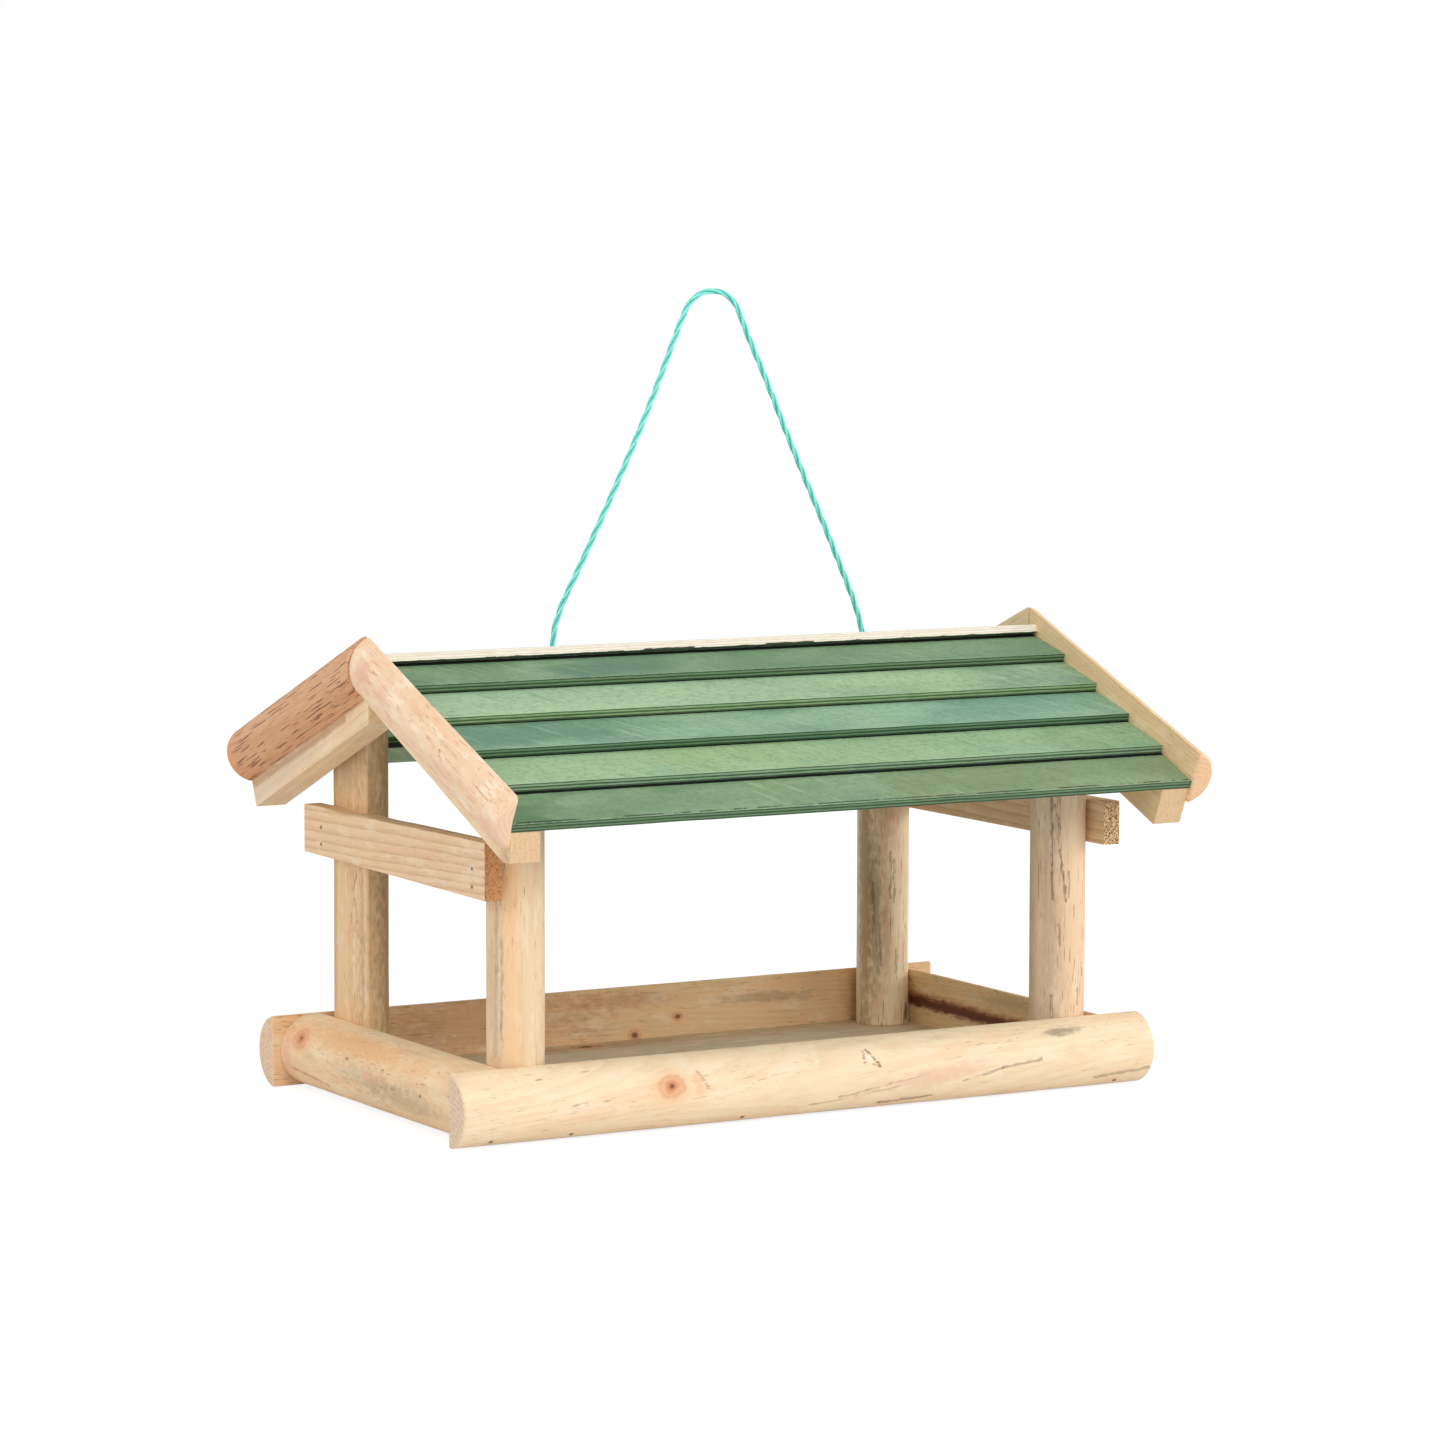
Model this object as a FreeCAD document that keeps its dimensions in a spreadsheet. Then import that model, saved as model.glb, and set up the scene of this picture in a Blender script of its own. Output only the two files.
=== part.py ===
import FreeCAD, Part
import math
import os
import re
import Sketcher

# Hanging bird table: a tray of half-round logs, four posts, a clapboard roof and a rope loop.
# Frame: X along the ridge, -Y the front, +Z up. Origin under the middle of the tray.

doc = FreeCAD.newDocument("BirdTable")
sheet = doc.addObject("Spreadsheet::Sheet", "Sizes")

sizes = [
    # tray: logs sawn flat on their inner side, and the floor between them
    ("log_dia", 45), ("rail_length", 486), ("rail_over", 34), ("rail_shift", 2), ("rail_thick", 20.5),
    ("left_rail_thick", 30.5), ("right_rail_thick", 21), ("floor_thick", 10),
    ("tray_inner_x", "=rail_length - 2 * rail_over"), ("tray_inner_y", 242),
    # posts: three round ones and a half-round one at the back left
    ("post_dia", 34.5), ("half_post_dia", 48), ("half_post_off", 13.5),
    # battens nailed across the posts under the gables
    ("batten_thick", 11.5),
    ("left_batten_front", 120), ("left_batten_back", 124.5), ("left_batten_low", 144),
    ("left_batten_rise", 2.8), ("left_batten_high", 34.5), ("left_batten_taper", 4.5),
    ("right_batten_front", 129.5), ("right_batten_back", 120), ("right_batten_low", 152.6),
    ("right_batten_high", 27.3),
    # rafters: their top line, the gable plane and the cuts of each kind
    ("roof_pitch", 23.5), ("ridge_high", 271.2), ("rafter_off", 7.8), ("rafter_thick", 20),
    ("gable_half", "=tray_inner_x / 2 + rafter_off + rafter_thick"),
    ("square_rafter_deep", 24.7), ("square_rafter_run", 198),
    ("plumb_rafter_deep", 19.5), ("plumb_rafter_out", 182.4), ("plumb_rafter_end", 17.9),
    ("back_rafter_deep", 30), ("back_rafter_run", 186.5), ("back_rafter_end", 27),
    # bargeboards: half-round strips on the gables, a little flatter than the roof
    ("barge_log", 36), ("barge_thick", 14), ("barge_flatter", 1.6), ("barge_above", 21.1),
    ("barge_peak", "=ridge_high + barge_above"),
    ("front_left_run", 211), ("front_right_run", 208), ("back_barge_run", 195),
    # roof boards: overlapping plywood strips, measured down the slope from the ridge
    ("board_thick", 5), ("board_lap", 6), ("board_step", 40), ("first_edge", 42.7),
    ("last_edge", 198.7), ("first_start", 4), ("ridge_over", 10.5), ("board_gap", 0.1),
    # nails with sunk heads
    ("nail_dia", 2), ("nail_head_dia", 3), ("nail_head_high", 1), ("nail_length", 34),
    ("nail_play", 0.1), ("nail_sides", 12), ("rail_nail_high", 4),
    ("left_nail_in", 20), ("second_nail_in", 73.5), ("third_nail", 53), ("right_nail_in", 26),
    ("batten_nail_length", 26), ("batten_nail_low", 151), ("batten_nail_step", 10.5),
    ("half_post_nail", 7), ("right_nail_low", 161),
    # rope loop through two holes of the top board, with a knot under each hole
    ("rope_dia", 3.8), ("rope_hole_dia", 5), ("rope_left", 104.9), ("rope_right", 119.2),
    ("rope_hole_up", 33), ("rope_stub", 12),
    ("knot_dia", 12), ("knot_block_high", 6), ("knot_tip_dia", 8), ("knot_tip_high", 3.5),
]
for row, (name, value) in enumerate(sizes, start=1):
    sheet.set("A%d" % row, name)
    sheet.set("B%d" % row, str(value))
    sheet.setAlias("B%d" % row, name)
doc.recompute()
size = {name: float(sheet.get(name)) for name, value in sizes}
alias = re.compile(r"\b(" + "|".join(sorted(size, key=len, reverse=True)) + r")\b")

pieces = []


# Formulas name the sheet's values; these helpers bind them to the objects.

def cells(formula):
    return alias.sub(r"Sizes.\1", str(formula))


def bind(thing, **formulas):
    for prop, formula in formulas.items():
        thing.setExpression(prop, cells(formula))
    return thing


def place(thing, x, y, z, yaw=0, pitch=0, roll=0, turned=False):
    # A turned object is carried half a turn about the vertical through the tray's middle.
    if turned:
        x, y, yaw = "-(%s)" % x, "-(%s)" % y, "180 + %s" % yaw
    spot = "vector(%s; %s; %s)" % (x, y, z)
    turn = "rotation((%s) * 1 deg; (%s) * 1 deg; (%s) * 1 deg)" % (yaw, pitch, roll)
    thing.setExpression("Placement", cells("placement(%s; %s)" % (spot, turn)))
    return thing


def keep(thing):
    pieces.append(thing)
    return thing


def box(name, length, width, height):
    return bind(doc.addObject("Part::Box", name), Length=length, Width=width, Height=height)


def rod(name, diameter, height):
    return bind(doc.addObject("Part::Cylinder", name), Radius="(%s) / 2" % diameter, Height=height)


def wire(name, diameter, height):
    # A thin round bar, with a few flats round it in place of a curve too fine to see.
    return bind(doc.addObject("Part::Prism", name), Circumradius="(%s) / 2" % diameter, Height=height,
                Polygon="nail_sides")


def overlap(name, first, second):
    both = doc.addObject("Part::Common", name)
    both.Base = first
    both.Tool = second
    return both


def without(name, base, tool):
    rest = doc.addObject("Part::Cut", name)
    rest.Base = base
    rest.Tool = tool
    return rest


def together(name, parts):
    group = doc.addObject("Part::Compound", name)
    group.Links = parts
    return group


def nailed(name, base, bores):
    # A piece with the bores of its nails taken out.
    return without(name, base, together(name + "_bores", bores))


def plate(name, corners, start, thick, turned=False):
    # A flat piece standing across X: its outline in Y and Z, padded along X.
    body = doc.addObject("PartDesign::Body", name)
    sketch = body.newObject("Sketcher::SketchObject", name + "_outline")
    standing = [item for item in body.Origin.OriginFeatures if item.Role == "YZ_Plane"][0]
    sketch.AttachmentSupport = (standing, [""])
    sketch.MapMode = "FlatFace"
    count = len(corners)
    doc.recompute()
    for n in range(count):
        ends = [FreeCAD.Vector(*[sheetValue(word) for word in corners[k % count]], 0)
                for k in (n, n + 1)]
        sketch.addGeometry(Part.LineSegment(*ends), False)
    for n in range(count):
        sketch.addConstraint(Sketcher.Constraint("Coincident", n, 2, (n + 1) % count, 1))
    for n, (y, z) in enumerate(corners):
        for kind, formula in (("DistanceX", y), ("DistanceY", z)):
            spot = sketch.addConstraint(
                Sketcher.Constraint(kind, -1, 1, n, 1, sheetValue(formula)))
            sketch.setExpression("Constraints[%d]" % spot, cells(formula))
    pad = body.newObject("PartDesign::Pad", name + "_pad")
    pad.Profile = sketch
    bind(pad, Length=thick)
    sketch.Visibility = False
    place(body, start, 0, 0, turned=turned)
    return body


def sheetValue(formula):
    # The value that a formula has now, for an outline's first drawing.
    value = sheet.evalExpression(cells(formula))
    return float(getattr(value, "Value", value))


# Places along the roof: a run down the slope and a rise square to it, on the front half.

def roofOut(run, rise="0"):
    return "((%s) * cos(roof_pitch) + (%s) * sin(roof_pitch))" % (run, rise)


def roofY(run, rise="0"):
    return "-" + roofOut(run, rise)


def roofZ(run, rise="0"):
    return "(ridge_high - (%s) * sin(roof_pitch) + (%s) * cos(roof_pitch))" % (run, rise)


def roofLine(out, deep="0"):
    # Height of the rafters' top line, or a depth below it, at a distance out from the ridge.
    return "(ridge_high - (%s) * tan(roof_pitch) - (%s) / cos(roof_pitch))" % (out, deep)


def aboveRoof(name, turned):
    # Everything over the rafters' top line on one slope, for cutting the posts' tops.
    reach = "(2 * last_edge)"
    tool = box(name, "rail_length", reach, "ridge_high")
    return place(tool, "-rail_length / 2", roofY(reach), roofZ(reach), roll="roof_pitch", turned=turned)


# Nails: a head and a shank, the head's face at the given spot, and the bore that takes them.

def nailAt(name, x, y, z, yaw, length="nail_length"):
    # The nail points along +Y before the yaw.
    shank = wire(name + "_shank", "nail_dia", length)
    head = wire(name + "_head", "nail_head_dia", "nail_head_high")
    for part in (shank, head):
        place(part, x, y, z, yaw=yaw, roll=-90)
    whole = doc.addObject("Part::MultiFuse", name)
    whole.Shapes = [head, shank]
    return whole


def boreAt(name, x, y, z, yaw, length="nail_length"):
    # A bore has the nail's own form with play all round, and is open outside the head.
    shank = wire(name + "_bore", "nail_dia + 2 * nail_play", length + " + nail_play")
    place(shank, x, y, z, yaw=yaw, roll=-90)
    sink = wire(name + "_sink", "nail_head_dia + 2 * nail_play", "log_dia / 2")
    reach = "(log_dia / 2 - nail_head_high)"
    place(sink, "%s + sin(%s) * %s" % (x, yaw, reach), "%s - cos(%s) * %s" % (y, yaw, reach), z,
          yaw=yaw, roll=-90)
    both = doc.addObject("Part::MultiFuse", name + "_room")
    both.Shapes = [sink, shank]
    return both


# Tray

def railNails():
    # Each rail has two nails into the side rails' ends and two into the floor's edge.
    low = "(log_dia / 2 - rail_nail_high + nail_head_dia / 2)"
    face = "(tray_inner_y / 2 + rail_thick - log_dia / 2 + sqrt(pow(log_dia / 2; 2) - pow(%s; 2)))" % low
    spots = []
    for x in ("-(rail_length / 2 - left_nail_in)", "-(rail_length / 2 - second_nail_in)",
              "-third_nail", "(rail_length / 2 - right_nail_in)"):
        spots.append((x, "-" + face, "0"))
        spots.append(("-(%s)" % x, face, "180"))
    return spots


rail_spots = railNails()


def railBores(name, wanted):
    return [boreAt("%s_%d" % (name, n), x, y, "rail_nail_high", yaw)
            for n, (x, y, yaw) in enumerate(rail_spots) if n in wanted]


def longRail(name, turned, wanted):
    log = rod(name + "_log", "log_dia", "rail_length")
    start = "-(rail_length / 2 + %s rail_shift)" % ("-1 *" if turned else "1 *")
    place(log, start, "-(tray_inner_y / 2 + rail_thick - log_dia / 2)", "log_dia / 2",
          pitch=90, turned=turned)
    half = box(name + "_half", "rail_length", "rail_thick", "log_dia")
    place(half, start, "-(tray_inner_y / 2 + rail_thick)", 0, turned=turned)
    keep(nailed(name, overlap(name + "_blank", log, half), railBores(name, wanted)))


def sideRail(name, thick, turned, wanted):
    log = rod(name + "_log", "log_dia", "tray_inner_y")
    place(log, "tray_inner_x / 2 + %s - log_dia / 2" % thick, "-tray_inner_y / 2", "log_dia / 2",
          roll=-90, turned=turned)
    half = box(name + "_half", thick, "tray_inner_y", "log_dia")
    place(half, "tray_inner_x / 2", "-tray_inner_y / 2", 0, turned=turned)
    keep(nailed(name, overlap(name + "_blank", log, half), railBores(name, wanted)))


longRail("front_rail", False, (0, 2, 4, 6))
longRail("back_rail", True, (1, 3, 5, 7))
sideRail("right_rail", "right_rail_thick", False, (1, 6))
sideRail("left_rail", "left_rail_thick", True, (0, 7))

boards = box("floor_board", "tray_inner_x", "tray_inner_y", "floor_thick")
place(boards, "-tray_inner_x / 2", "-tray_inner_y / 2", 0)
keep(nailed("tray_floor", boards, railBores("tray_floor", (2, 3, 4, 5))))

rail_nails = [nailAt("rail_nail_%d" % n, x, y, "rail_nail_high", yaw)
              for n, (x, y, yaw) in enumerate(rail_spots)]
keep(together("rail_nails", rail_nails))


# Battens and the posts that they are nailed to

left_face = "-(tray_inner_x / 2 + batten_thick)"
right_face = "(tray_inner_x / 2 + batten_thick)"
post_out = "((tray_inner_y - post_dia) / 2)"
half_post_edge = "(tray_inner_y / 2 - half_post_off)"
batten_spots = {
    "post_front_left": (left_face, "-" + post_out, "batten_nail_low", "-90"),
    "post_back_left": (left_face, half_post_edge + " - half_post_nail",
                       "batten_nail_low + left_batten_rise", "-90"),
    "post_front_right": (right_face, "-" + post_out, "right_nail_low", "90"),
    "post_back_right": (right_face, post_out, "right_nail_low", "90"),
}


def battenNails(name, posts, make):
    made = []
    for post in posts:
        x, y, low, yaw = batten_spots[post]
        for step in (0, 1):
            high = "(%s + %d * batten_nail_step)" % (low, step)
            made.append(make("%s_%s_%d" % (name, post, step), x, y, high, yaw, "batten_nail_length"))
    return made


def roundPost(name, right, turned):
    # A round post in a corner of the tray, touching both rails, its top cut to the slope.
    log = rod(name + "_log", "post_dia", "ridge_high - floor_thick")
    side = 1 if right else -1
    place(log, "%d * (tray_inner_x - post_dia) / 2" % side, "-(tray_inner_y - post_dia) / 2",
          "floor_thick", turned=turned)
    cut = without(name + "_cut", log, aboveRoof(name + "_above", turned))
    keep(nailed(name, cut, battenNails(name, [name], boreAt)))


def halfPost(name):
    # A half-round post near the back left corner, its flat outward in line with the side rail's.
    log = rod(name + "_log", "half_post_dia", "ridge_high - floor_thick")
    place(log, "-tray_inner_x / 2", half_post_edge + " - half_post_dia / 2", "floor_thick")
    half = box(name + "_half", "half_post_dia / 2", "half_post_dia", "ridge_high")
    place(half, "-tray_inner_x / 2", half_post_edge + " - half_post_dia", 0)
    cut = without(name + "_cut", overlap(name + "_blank", log, half), aboveRoof(name + "_above", True))
    keep(nailed(name, cut, battenNails(name, [name], boreAt)))


roundPost("post_front_left", False, False)
roundPost("post_front_right", True, False)
roundPost("post_back_right", False, True)
halfPost("post_back_left")

left_high = "left_batten_low + left_batten_high"
left_outline = [
    ("-left_batten_front", "left_batten_low"),
    ("left_batten_back", "left_batten_low + left_batten_rise"),
    ("left_batten_back", left_high + " + left_batten_rise - left_batten_taper"),
    ("-left_batten_front", left_high),
]
right_outline = [
    ("-right_batten_front", "right_batten_low"),
    ("right_batten_back", "right_batten_low"),
    ("right_batten_back", "right_batten_low + right_batten_high"),
    ("-right_batten_front", "right_batten_low + right_batten_high"),
]
for name, outline, start, posts in (
        ("left_batten", left_outline, left_face, ["post_front_left", "post_back_left"]),
        ("right_batten", right_outline, "tray_inner_x / 2", ["post_front_right", "post_back_right"])):
    strip = plate(name + "_strip", outline, start, "batten_thick")
    keep(nailed(name, strip, battenNails(name, posts, boreAt)))

keep(together("batten_nails", battenNails("batten_nail", list(batten_spots), nailAt)))


# Rafters, under the roof boards and against the bargeboards

near = "board_gap / 2"
right_start = "gable_half - rafter_thick"


def squareRafter(name, deep, run, end, start, turned):
    # Its lower end is cut square to the slope. The depth goes from one at the ridge to one there.
    keep(plate(name, [
        ("-" + near, roofLine(near)),
        (roofY(run), roofZ(run)),
        (roofY(run, "-" + end), roofZ(run, "-" + end)),
        ("-" + near, roofLine(near, deep)),
    ], start, "rafter_thick", turned))


def plumbRafter(name, deep, out, end, start, turned):
    # Its lower end is cut plumb, with the toe cut level.
    low = "(%s - %s)" % (roofLine(out), end)
    toe = "((ridge_high - %s - %s / cos(roof_pitch)) / tan(roof_pitch))" % (low, deep)
    keep(plate(name, [
        ("-" + near, roofLine(near)),
        ("-" + out, roofLine(out)),
        ("-" + out, low),
        ("-" + toe, low),
        ("-" + near, roofLine(near, deep)),
    ], start, "rafter_thick", turned))


squareRafter("rafter_front_right", "square_rafter_deep", "square_rafter_run", "square_rafter_deep",
             right_start, False)
plumbRafter("rafter_front_left", "plumb_rafter_deep", "plumb_rafter_out", "plumb_rafter_end",
            "-gable_half", False)
for name, start in (("rafter_back_left", right_start), ("rafter_back_right", "-gable_half")):
    squareRafter(name, "back_rafter_deep", "back_rafter_run", "back_rafter_end", start, True)


# Bargeboards: strips sawn off a log's side, flat against the rafters, mitred plumb at the ridge

barge_pitch = "(roof_pitch - barge_flatter)"
barge_wide = "(2 * sqrt(barge_thick * (barge_log - barge_thick)))"


def bargeboard(name, run, side, turned):
    y = "(-%s * cos(%s) + %s * sin(%s))" % (run, barge_pitch, barge_wide, barge_pitch)
    z = "(barge_peak - %s * sin(%s) - %s * cos(%s))" % (run, barge_pitch, barge_wide, barge_pitch)
    past = "(%s + %s)" % (run, barge_wide)
    strip = box(name + "_strip", "barge_thick", past, barge_wide)
    start = "gable_half" if side > 0 else "-gable_half - barge_thick"
    place(strip, start, y, z, roll=barge_pitch, turned=turned)
    log = rod(name + "_log", "barge_log", past)
    middle = "%d * (gable_half + barge_thick - barge_log / 2)" % side
    place(log, middle, "%s - %s / 2 * sin(%s)" % (y, barge_wide, barge_pitch),
          "%s + %s / 2 * cos(%s)" % (z, barge_wide, barge_pitch), roll=barge_pitch + " - 90",
          turned=turned)
    mitre = box(name + "_mitre", "4 * gable_half", "2 * gable_half", "barge_peak")
    place(mitre, "-2 * gable_half", "-" + near, "barge_peak / 2", turned=turned)
    keep(without(name, overlap(name + "_half", log, strip), mitre))


bargeboard("bargeboard_front_right", "front_right_run", 1, False)
bargeboard("bargeboard_front_left", "front_left_run", -1, False)
bargeboard("bargeboard_back_left", "back_barge_run", 1, True)
bargeboard("bargeboard_back_right", "back_barge_run", -1, True)


# Roof boards: each lies with its upper edge on the rafters and its lower edge on the next board

plain_tilt = "(asin((board_thick + board_gap) / board_step) / 1 deg)"
last_tilt = "(atan((board_thick + board_gap) / (board_step + board_lap)) / 1 deg)"
first_rise = "(board_thick / cos(%s) + board_lap * tan(%s) + board_gap)" % (plain_tilt, plain_tilt)
first_tilt = "(atan(%s / (first_edge - first_start)) / 1 deg)" % first_rise
board_long = "(2 * (gable_half - board_gap))"


def roofBoard(name, upper, lower, tilt, turned):
    # The underside runs from its upper edge on the rafters to its lower edge, tilted off the slope.
    rise = "(board_gap + (%s - %s) * tan(%s))" % (lower, upper, tilt)
    wide = "((%s - %s) / cos(%s))" % (lower, upper, tilt)
    board = box(name, board_long, wide, "board_thick")
    place(board, "-(gable_half - board_gap)", roofY(lower, rise), roofZ(lower, rise),
          roll="roof_pitch - " + tilt, turned=turned)
    return board


for half, turned in (("front", False), ("back", True)):
    for n in (2, 3, 4):
        lower = "(first_edge + %d * board_step)" % (n - 1)
        upper = "(first_edge + %d * board_step - board_lap)" % (n - 2)
        tilt = last_tilt if n == 4 else plain_tilt
        keep(roofBoard("roof_board_%s_%d" % (half, n), upper, lower, tilt, turned))
    upper = "(first_edge + 3 * board_step - board_lap)"
    keep(roofBoard("roof_board_%s_5" % half, upper, "last_edge", "0", turned))
keep(roofBoard("roof_board_front_1", "first_start", "first_edge", first_tilt, False))

# The back slope's top board runs on over the ridge and rests on the front one's upper arris.
front_slant = "(roof_pitch - %s)" % first_tilt
arris_out = "(%s + board_thick * sin(%s))" % (roofOut("first_start", "board_gap"), front_slant)
arris_high = "(%s + board_thick * cos(%s))" % (roofZ("first_start", "board_gap"), front_slant)
lower_rise = "(%s + board_gap)" % first_rise
lower_out = roofOut("first_edge", lower_rise)
lower_high = roofZ("first_edge", lower_rise)
top_slant = "(atan((%s + board_gap - %s) / (%s + %s)) / 1 deg)" % (
    arris_high, lower_high, arris_out, lower_out)
top_wide = "((%s + ridge_over) / cos(%s))" % (lower_out, top_slant)


def onTopBoard(thing, x, up, rise, roll="0"):
    # A place on the top board: a distance up from its lower edge and a height over its underside.
    y = "-%s + (%s) * cos(%s) - (%s) * sin(%s)" % (lower_out, up, top_slant, rise, top_slant)
    z = "%s + (%s) * sin(%s) + (%s) * cos(%s)" % (lower_high, up, top_slant, rise, top_slant)
    return place(thing, x, y, z, roll=top_slant + " + " + roll, turned=True)


top_blank = box("top_board_blank", board_long, top_wide, "board_thick")
onTopBoard(top_blank, "-(gable_half - board_gap)", 0, 0)
holes = []
for name, x in (("left", "rope_left"), ("right", "-rope_right")):
    hole = rod("rope_hole_" + name, "rope_hole_dia", "3 * board_thick")
    holes.append(onTopBoard(hole, x, "rope_hole_up", "-board_thick"))
keep(without("roof_board_back_1", top_blank, together("rope_holes", holes)))


# Rope: a stopper knot under each hole, and the loop from knot to knot

for name, x in (("left", "rope_left"), ("right", "-rope_right")):
    # Each knot is a short round block under the board, with a narrower end below.
    block = rod("knot_block_" + name, "knot_dia", "knot_block_high")
    onTopBoard(block, x, "rope_hole_up", "-board_gap - knot_block_high")
    tip = bind(doc.addObject("Part::Cone", "knot_tip_" + name), Radius1="knot_tip_dia / 2",
               Radius2="knot_dia / 2", Height="knot_tip_high")
    onTopBoard(tip, x, "rope_hole_up", "-board_gap - knot_block_high - knot_tip_high")
    knot = doc.addObject("Part::Fuse", "knot_" + name)
    knot.Base = block
    knot.Tool = tip
    keep(knot)

doc.recompute()

# The loop's corners in X and in height above the ridge, chosen by hand from the left foot up
# to the hook and down to the right foot. Both feet leave the board square to it.
loop_points = [
    (-99.5, 29.8), (-87.5, 51.3), (-64, 96.3), (-41.5, 141.8), (-28.5, 171.3), (-17.5, 197.3),
    (-9, 216.6), (-1.3, 223), (8.4, 225.4), (18.2, 223.2), (26, 216.9), (34.5, 196.3),
    (46.5, 172.3), (64, 132.8), (88, 82.8), (104.5, 47.3), (113.5, 27.3),
]


def ropeFoot(block):
    # The end on the knot's flat top, and the first corner straight above it.
    square = block.Placement.Rotation.multVec(FreeCAD.Vector(0, 0, 1))
    end = block.Placement.Base + square * size["knot_block_high"]
    return end, end + square * size["rope_stub"]


arc_share = 0.45


def roundedRoute(corners):
    # Straight runs joined by arcs that are tangent to both of them. Each arc takes the same share
    # of the shorter run beside it.
    edges = []
    radii = []
    start = corners[0]
    for before, corner, after in zip(corners, corners[1:], corners[2:]):
        back = before - corner
        ahead = after - corner
        half = (math.pi - back.getAngle(ahead)) / 2
        tangent = arc_share * min(back.Length, ahead.Length)
        radius = tangent / math.tan(half)
        back.normalize()
        ahead.normalize()
        inner = back + ahead
        inner.normalize()
        first = corner + back * tangent
        last = corner + ahead * tangent
        middle = corner + inner * (radius / math.cos(half) - radius)
        edges.append(Part.LineSegment(start, first).toShape())
        edges.append(Part.Arc(first, middle, last).toShape())
        radii.append(radius)
        start = last
    edges.append(Part.LineSegment(start, corners[-1]).toShape())
    return Part.Wire(edges), radii


left_end, left_first = ropeFoot(doc.getObject("knot_block_left"))
right_end, right_first = ropeFoot(doc.getObject("knot_block_right"))
loop = [FreeCAD.Vector(x, left_first.y, size["ridge_high"] + high) for x, high in loop_points]
corners = [left_end, left_first] + loop + [right_first, right_end]
route, radii = roundedRoute(corners)
section = Part.Circle(left_end, left_first - left_end, size["rope_dia"] / 2).toShape()
tube = route.makePipeShell([Part.Wire(section)], True, False)
rope = doc.addObject("Part::Feature", "rope")
rope.Shape = tube
rope.Placement = FreeCAD.Placement()
keep(rope)

print("rope corners", [tuple(round(v, 2) for v in corner) for corner in corners])
print("rope runs", [round((b - a).Length, 1) for a, b in zip(corners, corners[1:])])
print("rope radii", [round(radius, 1) for radius in radii])
print("rope length", round(route.Length, 1), "volume", round(tube.Volume, 1),
      "section times length", round(math.pi * (size["rope_dia"] / 2) ** 2 * route.Length, 1))


# Checks and files

doc.recompute()
for thing in doc.Objects:
    if "Invalid" in thing.State or "Error" in thing.State:
        raise RuntimeError("%s is %s" % (thing.Label, thing.State))
for piece in pieces:
    if piece.Shape.isNull() or not piece.Shape.isValid():
        raise RuntimeError("%s has no valid shape" % piece.Label)
os.makedirs("parts", exist_ok=True)
for piece in pieces:
    piece.Shape.exportStep("parts/%s.step" % piece.Label)
    bounds = piece.Shape.BoundBox
    print(piece.Label, len(piece.Shape.Solids), [round(v, 1) for v in (
        bounds.XMin, bounds.XMax, bounds.YMin, bounds.YMax, bounds.ZMin, bounds.ZMax)])
print(len(pieces), "pieces")
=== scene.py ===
import bpy
import math
import numpy as np
from mathutils import Matrix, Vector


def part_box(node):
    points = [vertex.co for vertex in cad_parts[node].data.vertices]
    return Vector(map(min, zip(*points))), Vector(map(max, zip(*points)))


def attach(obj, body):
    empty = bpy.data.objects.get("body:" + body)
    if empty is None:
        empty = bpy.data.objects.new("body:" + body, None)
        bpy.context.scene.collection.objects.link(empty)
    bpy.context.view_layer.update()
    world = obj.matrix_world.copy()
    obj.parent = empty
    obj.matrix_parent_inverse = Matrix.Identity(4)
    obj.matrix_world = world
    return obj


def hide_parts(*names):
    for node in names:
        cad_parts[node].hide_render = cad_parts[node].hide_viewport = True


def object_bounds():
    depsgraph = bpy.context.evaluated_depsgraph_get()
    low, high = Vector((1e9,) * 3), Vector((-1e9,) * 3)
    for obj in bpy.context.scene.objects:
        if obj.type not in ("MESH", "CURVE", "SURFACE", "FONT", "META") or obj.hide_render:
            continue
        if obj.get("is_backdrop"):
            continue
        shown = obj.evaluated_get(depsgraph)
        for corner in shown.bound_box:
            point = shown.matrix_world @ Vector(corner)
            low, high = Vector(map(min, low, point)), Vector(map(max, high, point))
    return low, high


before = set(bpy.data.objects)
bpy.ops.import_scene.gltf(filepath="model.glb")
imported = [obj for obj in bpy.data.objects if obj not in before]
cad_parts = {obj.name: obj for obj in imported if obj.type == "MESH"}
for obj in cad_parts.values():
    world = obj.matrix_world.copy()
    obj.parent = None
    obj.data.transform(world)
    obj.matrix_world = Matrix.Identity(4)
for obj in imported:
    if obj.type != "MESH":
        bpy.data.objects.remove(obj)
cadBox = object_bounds()

# Camera: the photograph's own place, turn and focal length, in metres, degrees and pixels
photo = {"width": 1440, "focal": 5143.35, "place": (-1.590773, -2.767316, 0.549087),
         "yaw": 30.003, "pitch": 5.716, "roll": 0.148}

eye = bpy.data.objects.new("photoCamera", bpy.data.cameras.new("photoCamera"))
bpy.context.scene.collection.objects.link(eye)
eye.data.sensor_width = 36
eye.data.lens = 36 * photo["focal"] / photo["width"]
eye.data.clip_end = 60
eye.matrix_world = (Matrix.Translation(photo["place"])
                    @ Matrix.Rotation(math.radians(-photo["yaw"]), 4, "Z")
                    @ Matrix.Rotation(math.radians(90 - photo["pitch"]), 4, "X")
                    @ Matrix.Rotation(math.radians(photo["roll"]), 4, "Z"))
bpy.context.scene.camera = eye
bpy.context.scene.view_settings.view_transform = "Standard"
print("camera placed")


# Shader maths

def paint(red, green, blue):
    # A colour as a paint chart gives it, 0 to 255, made linear.
    chart = np.array([red, green, blue]) / 255
    linear = np.where(chart <= 0.04045, chart / 12.92, ((chart + 0.055) / 1.055) ** 2.4)
    return (*linear.tolist(), 1.0)


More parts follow.
